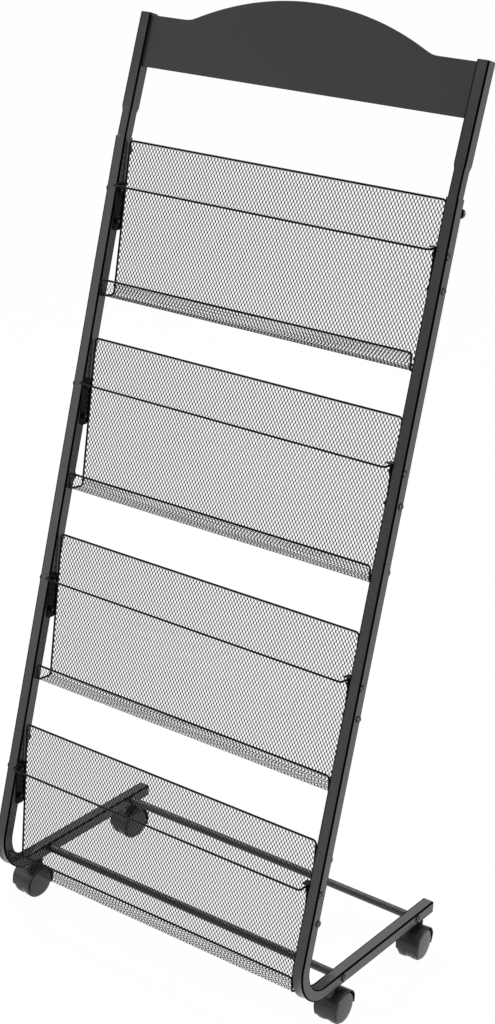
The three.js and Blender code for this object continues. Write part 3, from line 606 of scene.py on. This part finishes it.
def bent_path(corners, bends, steps):
    """Straight runs joined by circular bends: stations and directions."""
    corners = np.asarray(corners, float)
    heading = np.diff(corners, axis=0)
    heading /= np.linalg.norm(heading, axis=1)[:, None]
    points, tangents = [corners[:1]], [heading[:1]]
    for i in range(1, len(corners) - 1):
        before, after = heading[i - 1], heading[i]
        turn_angle = math.acos(np.clip(before @ after, -1, 1))
        side = after - before * (before @ after)
        side /= np.linalg.norm(side)
        angle = np.linspace(0, turn_angle, steps + 1)[:, None]
        start = corners[i] - bends[i] * math.tan(turn_angle / 2) * before
        points.append(start + bends[i] * (np.sin(angle) * before + (1 - np.cos(angle)) * side))
        tangents.append(np.cos(angle) * before + np.sin(angle) * side)
    points.append(corners[-1:])
    tangents.append(heading[-1:])
    return np.vstack(points), np.vstack(tangents)


def wire_grid(path, diameter, count):
    """Circle carried along a path, with each ring's axes turned by the least rotation from the last.
    The first ring's axis is square to the path and to WIRE_SLANT, along which no wire here runs."""
    points, tangents = path
    axis = np.cross(tangents[0], WIRE_SLANT)
    axes = []
    for tangent in tangents:
        axis = axis - tangent * (axis @ tangent)
        axis = axis / np.linalg.norm(axis)
        axes.append(axis)
    first = np.array(axes)
    second = np.cross(tangents, first)
    angle = round_angles(count)
    circle = np.cos(angle)[None, :, None] * first[:, None] + np.sin(angle)[None, :, None] * second[:, None]
    return points[:, None] + diameter / 2 * circle


def plate_grid(outline, x0, x1):
    """Outline of (back, up) points made thick along x."""
    outline = np.asarray(outline, float)
    return np.stack([np.column_stack([np.full(len(outline), x), outline]) for x in (x0, x1)])


def rounded_outline(low, high, corner, steps=4):
    """Rectangle from low to high with quarter-circle corners."""
    centre = (np.array(low) + np.array(high)) / 2
    half = (np.array(high) - np.array(low)) / 2 - corner
    angle = np.linspace(0, math.pi / 2, steps + 1)
    arcs = []
    for k, signs in enumerate([(1, 1), (-1, 1), (-1, -1), (1, -1)]):
        spread = np.column_stack([np.cos(angle + k * math.pi / 2), np.sin(angle + k * math.pi / 2)])
        arcs.append(centre + half * signs + corner * spread)
    return np.vstack(arcs)


inner_face = POST_X - TUBE / 2
bracket_outer = inner_face - SEAM
bracket_inner = bracket_outer - BRACKET_SHEET
wire_x = bracket_inner - WIRE / 2 + SEAM
tray_front = BOLT_TO_PANEL - TRAY_DEPTH
lip_y = tray_front - LIP_FLARE
tray_z = BOLT_TO_RIM - PANEL_HEIGHT
lip_z = tray_z + LIP_HEIGHT
basket_fold = [(BOLT_TO_PANEL, BOLT_TO_RIM), (BOLT_TO_PANEL, tray_z), (tray_front, tray_z), (lip_y, lip_z)]
right_end = [(wire_x, y, z) for y, z in basket_fold]
left_end = [(-wire_x, y, z) for y, z in reversed(basket_fold)]
rim_middle = (0, BOLT_TO_PANEL, BOLT_TO_RIM)
end_bends = [RIM_BEND, TRAY_BEND, TRAY_BEND, TRAY_BEND]
rim_path = bent_path([rim_middle, *right_end, *left_end, rim_middle],
                     [0, *end_bends, *reversed(end_bends), 0], WIRE_BEND_STEPS)
ledge_top = LEDGE_RISE + BRACKET_SHEET
plate_outline = rounded_outline((-BRACKET_FRONT, ledge_top - BRACKET_HEIGHT), (BOLT_TO_PANEL, ledge_top),
                                BRACKET_CORNER)
ledge_outline = rounded_outline((-BRACKET_FRONT, LEDGE_RISE), (LEDGE_BACK, ledge_top),
                                BRACKET_SHEET / 2 - LEDGE_FLAT)
ledge_inner = bracket_inner - LEDGE_WIDTH
nut_inner = bracket_inner - NUT_HEIGHT
nut_angle = round_angles(NUT_SIDES)
nut_outline = NUT_ACROSS / math.sqrt(3) * np.column_stack([np.cos(nut_angle), np.sin(nut_angle)])
for number in BASKETS:
    at = basket_frame(number)
    grids = [(wire_grid(rim_path, WIRE, WIRE_ROUND), False)]
    for sign in SIDES.values():
        grids.append((plate_grid(plate_outline, sign * bracket_inner, sign * bracket_outer), True))
        grids.append((plate_grid(ledge_outline, sign * ledge_inner, sign * bracket_outer), True))
        for drop in (0, BOLT_PITCH):
            nut = nut_outline - np.array([0, drop])
            grids.append((plate_grid(nut, sign * nut_inner, sign * bracket_inner), True))
    placed = [(on_basket(at, grid), caps) for grid, caps in grids]
    make_piece(f"basket_rim_{number}", placed, "frame", [f"rim_frame_{number}"], wire_coat)

# Basket mesh: expanded steel sheet, slit and drawn into upright diamonds, bent into back panel, tray and lip.
# Each strand zigzags down the sheet and meets its neighbour at short bonds, and is drawn thinner past the
# first bend. The sheet's edges are welded to the rim wire.
DIAMOND_WIDE = 5.5
DIAMOND_HIGH = 8.8
BOND = 0.14
STRAND = 0.86
STRAND_DRAWN = 0.26
STRAND_THICK = 0.7
BOND_LAP = 0.9
MESH_INSET = 0.5
MESH_SHARP = 50
FOLD_RADIUS = 4.0
FOLD_STEPS = 5

# Plain black, as weak in its highlights as the wire. The grain is drawn at 0.8 mm so that it shows.
mesh_coat = coated_metal("black_mesh_coat", "#050505", "#0a0a0a", mottle_mm=40.0, grain_mm=0.8,
                         roughness=0.24, bump=0.1, ior=1.2)


def sheet_profile(along):
    """Fold of the sheet at a share of its length from the rim: down the panel, forward along the tray and up
    the lip, with a round fold at each corner. Gives (back, up), the normal there and the whole length."""
    corners = [(0, y, z) for y, z in basket_fold]
    points, tangents = bent_path(corners, [0, FOLD_RADIUS, FOLD_RADIUS, 0], FOLD_STEPS)
    length = np.concatenate([[0], np.cumsum(np.linalg.norm(np.diff(points, axis=0), axis=1))])
    where = along * length[-1]
    place = np.column_stack([np.interp(where, length, points[:, k]) for k in (1, 2)])
    heading = np.column_stack([np.interp(where, length, tangents[:, k]) for k in (1, 2)])
    heading /= np.linalg.norm(heading, axis=1)[:, None]
    return place, np.column_stack([-heading[:, 1], heading[:, 0]]), length[-1]


sheet_length = sheet_profile(np.zeros(1))[2]
rows = int(round(sheet_length / DIAMOND_HIGH))
mesh_width = 2 * (wire_x - MESH_INSET)
columns = int(round(mesh_width * 2 / DIAMOND_WIDE)) // 2 * 2
phase = np.array([BOND, 0.5 - BOND, 0.5 + BOND, 1 - BOND])
along = ((np.arange(rows)[:, None] + phase[None, :]) / rows).ravel()
along = np.concatenate([[0], along, [1]])
swing = np.tile([1.0, -1.0, -1.0, 1.0], rows)
swing = np.concatenate([[1.0], swing, [1.0]])
place, normal, _ = sheet_profile(along)
pitch = mesh_width / columns
strand_x = (np.arange(columns) + 0.5) * pitch - columns * pitch / 2
mirrored = np.where(np.arange(columns) % 2 == 0, 1.0, -1.0)
below_panel = smooth_step((along * sheet_length - (BOLT_TO_RIM - tray_z)) / FOLD_RADIUS)
drawn = 1 - STRAND_DRAWN * below_panel
reach = swing * (pitch / 2 - STRAND * drawn / 2 * BOND_LAP)
centre_x = strand_x[:, None] + mirrored[:, None] * reach
section = np.array([(-1, -1), (1, -1), (1, 1), (-1, 1)]) / 2 * (STRAND, STRAND_THICK)
mesh_points = np.empty((columns, len(along), 4, 3))
mesh_points[..., 0] = centre_x[..., None] + section[:, 0] * drawn[:, None]
thick = section[:, 1] * drawn[:, None]
for axis in (0, 1):
    mesh_points[..., axis + 1] = place[:, axis, None] + normal[:, axis, None] * thick
for number in BASKETS:
    at = basket_frame(number)
    strands = [(on_basket(at, strand), True) for strand in mesh_points]
    make_piece(f"basket_mesh_{number}", strands, "frame", [f"mesh_tray_{number}"], mesh_coat,
               sharp=MESH_SHARP, merge=False)

# Retaining rods: 3 mm steel bar bent into a shallow U and dipped black like the rims.
# The ends are welded under the ledges of the brackets.
ROD = 3.0
ROD_RISE = 7.0
ROD_REACH = 20.0
ROD_BEND = 4.0

rod_x = bracket_inner - SEAM - ROD / 2
rod_corners = [(rod_x, LEDGE_BACK, ROD_RISE), (rod_x, -ROD_REACH, ROD_RISE), (-rod_x, -ROD_REACH, ROD_RISE),
               (-rod_x, LEDGE_BACK, ROD_RISE)]
rod_path = bent_path(rod_corners, [0, ROD_BEND, ROD_BEND, 0], WIRE_BEND_STEPS)
for number in BASKETS:
    grid = on_basket(basket_frame(number), wire_grid(rod_path, ROD, WIRE_ROUND))
    make_piece(f"basket_rod_{number}", [(grid, True)], "frame", [f"retaining_rod_{number}"],
               wire_coat)

# Bolts: pan-head machine screws with a cross recess, black zinc plated.
# Basket bolts go through the posts from outside into weld nuts, and bar bolts through the feet into the bars.
HEAD_ROUND = 40
# The basket bolts' heads are a little wider than their plain solids.
HEAD_SPREAD = {"basket": 1.15, "bar": 1.0}
SHANK = {"basket": 4.0, "bar": 6.0}
HEAD_CLEAR = 0.05
CROWN_DROP = 0.62
CROWN_POINTS = 9
CROWN_FIRST = 2
CROWN_SHARES = (0, 0.3, 0.55, 0.8)
RIM_RISE = 0.15
RIM_BREAK = 0.2
RECESS_DEPTH = 1.1
RECESS_ARM = 0.55
RECESS_START = 1.6
RECESS_REACH = 0.55
RECESS_FADE = 0.3
RECESS_HEADING = (0, 0.8, 0.6)
HEAD_SHARP = 35
SPOT_MM = 1.5
SPOT_SMOOTHER = 0.08
SPOT_ROUGHER = 0.1


def plated_steel(name, dark, light, roughness):
    """Zinc plate on steel: a grey metal with fine spots of uneven tone and gloss."""
    plate, tree, place = blank_material(name)
    spots = add_node(tree, "ShaderNodeTexNoise", None,
                     {"Vector": place, "Scale": 1 / (SPOT_MM * MM), "Detail": 4.0})
    colour = add_node(tree, "ShaderNodeMix", {"data_type": "RGBA"},
                      {0: spots.outputs["Fac"], 6: srgb(dark), 7: srgb(light)})
    gloss = add_node(tree, "ShaderNodeMapRange", None,
                     {"Value": spots.outputs["Fac"], "To Min": roughness - SPOT_SMOOTHER,
                      "To Max": roughness + SPOT_ROUGHER})
    shader = add_node(tree, "ShaderNodeBsdfPrincipled", None,
                      {"Base Color": colour.outputs[2], "Roughness": gloss.outputs[0], "Metallic": 1.0})
    add_node(tree, "ShaderNodeOutputMaterial", None, {"Surface": shader.outputs[0]})
    return plate


# Dark grey heads with a small bright glint.
screw_zinc = plated_steel("black_zinc_screw", "#3e3e41", "#5e5e61", roughness=0.24)


def screw_grid(seat, outward, across, head, height, shank, depth):
    """Turned pan head on its shank: a flat middle and a quarter ellipse down to the rim. Near the axis the
    crown sinks by RECESS_DEPTH along two crossed arms."""
    r = head / 2
    crown_angle = np.linspace(0, math.pi / 2, CROWN_POINTS)[CROWN_FIRST:]
    crown = [(r * math.sin(a), height - CROWN_DROP * height * (1 - math.cos(a))) for a in crown_angle]
    flat = [(share * crown[0][0], height) for share in CROWN_SHARES]
    rim = [(r, RIM_RISE), (r - RIM_BREAK, 0)]
    profile = np.array([*flat, *crown, *rim, (shank / 2, 0), (shank / 2, -depth), (0, -depth)])
    grid = turned_grid(profile, seat, outward, across, HEAD_ROUND)
    angle = round_angles(HEAD_ROUND)
    radius = profile[:, :1]
    arm = radius * np.minimum(np.abs(np.cos(angle)), np.abs(np.sin(angle)))
    sunk = (RECESS_DEPTH * smooth_step((RECESS_ARM * RECESS_START - arm) / RECESS_ARM)
            * smooth_step((RECESS_REACH * r - radius) / RECESS_FADE))
    on_crown = profile[:, 1:] > height / 2
    return grid - (sunk * on_crown)[..., None] * np.asarray(outward, float)


def screw_at_bolt(use, where, sign):
    """Replaces one bolt that lies along x, with its head on the outer side; use is basket or bar."""
    node = f"{use}_bolt_{where}"
    low, high = node_box(node)
    head = HEAD_SPREAD[use] * (high[2] - low[2])
    inner, outer = sorted([abs(low[0]), abs(high[0])])
    seat_x = POST_X + TUBE / 2 + HEAD_CLEAR
    _, y, z = (low + high) / 2
    grid = screw_grid((sign * seat_x, y, z), (sign, 0, 0), RECESS_HEADING, head, outer - seat_x, SHANK[use],
                      seat_x - inner)
    make_piece(f"{use}_screw_{where}", [(grid, False)], "frame", [node], screw_zinc,
               sharp=HEAD_SHARP)


for side, sign in SIDES.items():
    for number in BASKETS:
        for place_name in ("upper", "lower"):
            screw_at_bolt("basket", f"{number}_{place_name}_{side}", sign)
    for end in ("front", "rear"):
        screw_at_bolt("bar", f"{end}_{side}", sign)

# Hand screws: plated steel studs with knurled heads in the post backs, which lock the plugged joints.
# One sits below the top of each tube. The right one at the header is backed off and stands further out.
KNOB = 13.0
KNOB_HIGH = 4.0
KNOB_STAND = 2.5
KNOB_EDGE = 0.6
KNOB_BORDER = 2.0
KNOB_DISH = 0.3
KNURLS = 20
KNURL_DEPTH = 0.25
KNOB_ROUND = 120
STUD = 4.0
STUD_DEPTH = 3.0
HAND_SCREW_DROPS = {"foot": (FOOT_LEG, 12.0), "middle": (middle_top, 14.0), "header": (upper_top, 18.0)}
BACKED_OFF = 8.0


def knob_grid(seat, outward, stand):
    """Stud and dished head turned about the outward axis. The two rings of the rim are waved: their radius is
    multiplied by 1 + KNURL_DEPTH / r * cos(KNURLS * angle)."""
    r = KNOB / 2
    top = stand + KNOB_HIGH
    stud = [(0, -STUD_DEPTH), (STUD / 2, -STUD_DEPTH), (STUD / 2, stand), (r - KNOB_EDGE, stand)]
    rim = [(r, stand + KNOB_EDGE), (r, top - KNOB_EDGE)]
    dish = [(r - KNOB_EDGE, top), (r - KNOB_BORDER, top - KNOB_DISH), (0, top - KNOB_DISH)]
    grid = turned_grid(stud + rim + dish, seat, outward, X_AXIS, KNOB_ROUND)
    wave = 1 + KNURL_DEPTH / r * np.cos(KNURLS * round_angles(KNOB_ROUND))
    middle = (seat + np.array(rim)[:, 1:] * outward)[:, None]
    rings = slice(len(stud), len(stud) + len(rim))
    grid[rings] = middle + (grid[rings] - middle) * wave[:, None]
    return grid


post_back = np.array([0, math.cos(LEAN), -math.sin(LEAN)])
for side, sign in SIDES.items():
    for joint_name, (tube_top, drop) in HAND_SCREW_DROPS.items():
        backed_off = BACKED_OFF if (joint_name, side) == ("header", "right") else 0
        grid = knob_grid(on_post(sign * POST_X, TUBE, tube_top - drop), post_back, KNOB_STAND + backed_off)
        make_piece(f"hand_screw_{joint_name}_{side}", [(grid, False)], "frame", [], screw_zinc,
                   sharp=HEAD_SHARP)

# End plugs: black moulded nylon plugs with a thin square head and a shank.
# They are pressed into the post tops and the rear ends of the feet.
PLUG_HEAD = 1.6
PLUG_ROUND = 0.7
PLUG_CROWN = 0.2
PLUG_CROWN_IN = 0.6
PLUG_SHANK = 6.0
PLUG_PLAY = 4.0
FLOW_MM = 22.0
NYLON_SKIN = 0.08
NYLON_GLOSS_SPREAD = 0.07
NYLON_IOR = 1.53


def moulded_plastic(name, dark, light, grain_mm, roughness, bump):
    """Injection-moulded nylon: nearly even colour with a fine spark-eroded texture and soft gloss."""
    plastic, tree, place = blank_material(name)
    grain = add_node(tree, "ShaderNodeTexNoise", None,
                     {"Vector": place, "Scale": 1 / (grain_mm * MM), "Detail": 3.0})
    flow = add_node(tree, "ShaderNodeTexNoise", None,
                    {"Vector": place, "Scale": 1 / (FLOW_MM * MM), "Detail": 2.0})
    colour = add_node(tree, "ShaderNodeMix", {"data_type": "RGBA"},
                      {0: flow.outputs["Fac"], 6: srgb(dark), 7: srgb(light)})
    gloss = add_node(tree, "ShaderNodeMapRange", None,
                     {"Value": grain.outputs["Fac"], "To Min": roughness - NYLON_GLOSS_SPREAD,
                      "To Max": roughness + NYLON_GLOSS_SPREAD})
    skin = add_node(tree, "ShaderNodeBump", None,
                    {"Height": grain.outputs["Fac"], "Strength": bump, "Distance": NYLON_SKIN * MM})
    shader = add_node(tree, "ShaderNodeBsdfPrincipled", None,
                      {"Base Color": colour.outputs[2], "Roughness": gloss.outputs[0], "IOR": NYLON_IOR,
                       "Normal": skin.outputs[0]})
    add_node(tree, "ShaderNodeOutputMaterial", None, {"Surface": shader.outputs[0]})
    return plastic


# Black with a soft sheen. The texture is about 0.1 mm on the rack and is drawn at 0.7 mm so that it shows.
hood_plastic = moulded_plastic("black_nylon", "#0a0a0b", "#101011", grain_mm=0.7, roughness=0.36, bump=0.2)


def plug_grid(seat, outward, wide, high):
    """Flat square head with a rounded edge, on a shorter square shank inside the tube."""
    shank = TUBE - PLUG_PLAY
    face = TUBE - 2 * PLUG_ROUND
    levels = [(-PLUG_SHANK, shank), (0.0, shank), (0.0, TUBE), (PLUG_HEAD - PLUG_ROUND, TUBE),
              (PLUG_HEAD - PLUG_CROWN, face + PLUG_CROWN_IN), (PLUG_HEAD, face)]
    rings = []
    for level, size in levels:
        ring = rounded_square(size, CORNER_ROUND * size / TUBE)
        rings.append(seat + level * outward + ring[:, :1] * wide + ring[:, 1:] * high)
    return np.array(rings)


leg_up = np.array([0, math.sin(LEAN + HEADER_TILT), math.cos(LEAN + HEADER_TILT)])
leg_back = np.array([0, math.cos(LEAN + HEADER_TILT), -math.sin(LEAN + HEADER_TILT)])
for side, sign in SIDES.items():
    grid = plug_grid(on_header(sign * POST_X, TUBE / 2, LEG_TOP), leg_up, X_AXIS, leg_back)
    make_piece(f"post_plug_{side}", [(grid, True)], "frame", [], hood_plastic)
    rear_seat = np.array([sign * POST_X, foot_high[1], FOOT_UNDER + TUBE / 2])
    grid = plug_grid(rear_seat, Y_AXIS, X_AXIS, Z_AXIS)
    make_piece(f"foot_plug_{side}", [(grid, True)], "frame", [], hood_plastic)

# Casters: twin-wheel swivel casters of moulded nylon. A plated stem is held in the foot, a hood turns on it,
# and two wheels with domed faces turn on the hood's axle, on both sides of its web.
CASTER_ROUND = 48
STEM = 6.0
COLLAR = 11.0
COLLAR_HEIGHT = 4.0
COLLAR_EDGE = 0.6
BOSS = 12.0
BOSS_EDGE = 1.0
BOSS_OVER_AXLE = 16.0
CASTER_WEB = 8.0
WEB_UNDER_AXLE = 6.0
WEB_POINTS = 30
WEB_INTO_SHELL = 0.6
CORE = 48.0
AXLE = 6.0
AXLE_INSET = 3.1
AXLE_PLAY = 0.3
HOOD_CLEAR = 0.8
HOOD_WALL = 1.4
HOOD_EDGE = 0.6
HOOD_LAP = 0.8
HOOD_REAR = math.radians(-8)
HOOD_FRONT = math.radians(202)
HOOD_POINTS = 48
HOOD_THIN = 0.25
HOOD_DRAWN = 1.6
HOOD_TAPER = math.radians(50)
WHEEL_WIDTH = 13.5
WHEEL_GAP = 0.5
FACE_STEP = 2.6
FACE_RISE = 0.7
FACE_EDGE = 1.2
FACE_EDGE_START = 0.2
DOME_POINTS = 8
EDGE_POINTS = 6
GROOVE_DEPTH = 4.0
BORE_WALL = 2.5
# The tread's outer and inner corner: points in from the tread, and from the groove's floor or the inner face.
TREAD_OUTER = ((0.8, 0.0), (0.2, 0.2), (0.0, 0.8))
TREAD_INNER = ((0.0, 1.6), (0.5, 0.4), (1.4, 0.0))

# Charcoal faces, a shade paler and smoother than the hoods. The texture is drawn at 0.8 mm so that it shows.
wheel_plastic = moulded_plastic("grey_nylon_wheel", "#0c0c0e", "#131315", grain_mm=0.8, roughness=0.3,
                                bump=0.15)
# Bright grey between foot and hood.
stem_steel = plated_steel("plated_stem", "#5a5a5d", "#77777a", roughness=0.3)
joints = {joint["name"]: joint for joint in frame["record"]["behaviour"]["joints"]}
wheel_start = CASTER_WEB / 2 + WHEEL_GAP


def wheel_profile(radius):
    """Half section from the middle of the domed face, over its round edge and the step behind it, round the
    tread to the blind bore: (radius, length). The dome falls with the square of the radius."""
    face = radius - FACE_STEP
    flat = face - FACE_EDGE
    rim = WHEEL_WIDTH - FACE_RISE
    step = WHEEL_WIDTH - GROOVE_DEPTH
    bore = AXLE / 2 + AXLE_PLAY
    bore_end = WHEEL_WIDTH - BORE_WALL
    dome = [(r, WHEEL_WIDTH - FACE_RISE * (r / face) ** 2) for r in np.linspace(0, flat, DOME_POINTS)]
    edge = [(flat + FACE_EDGE * math.sin(a), rim - FACE_EDGE * (1 - math.cos(a)))
            for a in np.linspace(FACE_EDGE_START, math.pi / 2, EDGE_POINTS)]
    outer = [(radius - inset, step - drop) for inset, drop in TREAD_OUTER]
    inner = [(radius - inset, rise) for inset, rise in TREAD_INNER]
    return dome + edge + [(face, step)] + outer + inner + [(bore, 0.0), (bore, bore_end), (0, bore_end)]


def hood_shell(axle, axle_direction, forward, radius):
    """Shell over the wheels: a rounded strip section turned about the axle from the rear edge to the front
    skirt. The wall thins to HOOD_THIN and the sides draw in by HOOD_DRAWN towards both edges."""
    half = wheel_start + WHEEL_WIDTH + HOOD_LAP
    section = rounded_outline((-half, 0), (half, HOOD_WALL), HOOD_EDGE)
    angle = np.linspace(HOOD_REAR, HOOD_FRONT, HOOD_POINTS)
    rest = smooth_step((angle - HOOD_REAR) / HOOD_TAPER) * smooth_step((HOOD_FRONT - angle) / HOOD_TAPER)
    wall = HOOD_THIN + (1 - HOOD_THIN) * rest
    wide = 1 - HOOD_DRAWN / half * (1 - rest)
    radial = np.cos(angle)[:, None] * forward + np.sin(angle)[:, None] * Z_AXIS
    out = radius + HOOD_CLEAR + section[None, :, 1] * wall[:, None]
    across = section[None, :, 0] * wide[:, None]
    return axle + across[..., None] * axle_direction + out[..., None] * radial[:, None, :]


def sector_plate(axle, axle_direction, forward, outer, half):
    """Web between the wheels: the sector under the shell, as thick as the web."""
    angle = np.linspace(HOOD_REAR, HOOD_FRONT, WEB_POINTS)
    rim = outer * (np.cos(angle)[:, None] * forward + np.sin(angle)[:, None] * Z_AXIS)
    outline = np.vstack([rim, -WEB_UNDER_AXLE * Z_AXIS])
    return np.stack([axle + outline + x * axle_direction for x in (-half, half)])


collar_top = FOOT_UNDER - SEAM
collar_foot = collar_top - COLLAR_HEIGHT
boss_top = collar_foot - SEAM
boss_bore = STEM / 2 + SEAM
axle_half = wheel_start + WHEEL_WIDTH - AXLE_INSET
web_half = CASTER_WEB / 2
axle_profile = [(0, -axle_half), (AXLE / 2, -axle_half), (AXLE / 2, axle_half), (0, axle_half)]
core_profile = [(AXLE / 2, -web_half), (CORE / 2, -web_half), (CORE / 2, web_half), (AXLE / 2, web_half)]
for end in ("front", "rear"):
    for side in SIDES:
        name = f"caster_{end}_{side}"
        low, high = node_box(f"{name}_stem")
        stem = np.array([(low[0] + high[0]) / 2, (low[1] + high[1]) / 2, 0])
        roll = joints[f"roll_a_{end}_{side}"]
        axle = np.array(roll["pos_m"]) / MM
        direction = np.array(roll["axis"], float)
        radius = axle[2]
        trail = axle - stem
        trail[2] = 0
        trail /= np.linalg.norm(trail)
        pin, ring = STEM / 2, COLLAR / 2
        stem_profile = [(0, low[2]), (pin, low[2]), (pin, collar_foot), (ring - COLLAR_EDGE, collar_foot),
                        (ring, collar_foot + COLLAR_EDGE), (ring, collar_top), (pin, collar_top),
                        (pin, high[2]), (0, high[2])]
        grid = turned_grid(stem_profile, stem, Z_AXIS, X_AXIS, CASTER_ROUND)
        make_piece(f"{name}_pin", [(grid, False)], "frame", [f"{name}_stem"], stem_steel)
        boss_foot = radius + BOSS_OVER_AXLE
        boss_profile = [(boss_bore, boss_foot), (BOSS / 2, boss_foot), (BOSS / 2, boss_top - BOSS_EDGE),
                        (BOSS / 2 - BOSS_EDGE, boss_top), (boss_bore, boss_top)]
        web_edge = radius + HOOD_CLEAR + WEB_INTO_SHELL
        grids = [
            (hood_shell(axle, direction, trail, radius), True),
            (sector_plate(axle, direction, trail, web_edge, web_half), True),
            (turned_grid(boss_profile, stem, Z_AXIS, X_AXIS, CASTER_ROUND), False),
            (turned_grid(axle_profile, axle, direction, Z_AXIS, CASTER_ROUND), False),
        ]
        make_piece(f"{name}_cover", grids, f"hood_{end}_{side}", [f"{name}_hood"],
                   hood_plastic)
        core = turned_grid(core_profile, axle, direction, Z_AXIS, CASTER_ROUND)
        make_piece(f"{name}_core", [(core, False)], f"hood_{end}_{side}", [], wheel_plastic)
        for wheel, sign in (("a", 1), ("b", -1)):
            start = axle + sign * direction * wheel_start
            grid = turned_grid(wheel_profile(radius), start, sign * direction, Z_AXIS, CASTER_ROUND)
            make_piece(f"{name}_tyre_{wheel}", [(grid, False)], f"wheel_{wheel}_{end}_{side}",
                       [f"{name}_wheel_{wheel}"], wheel_plastic)
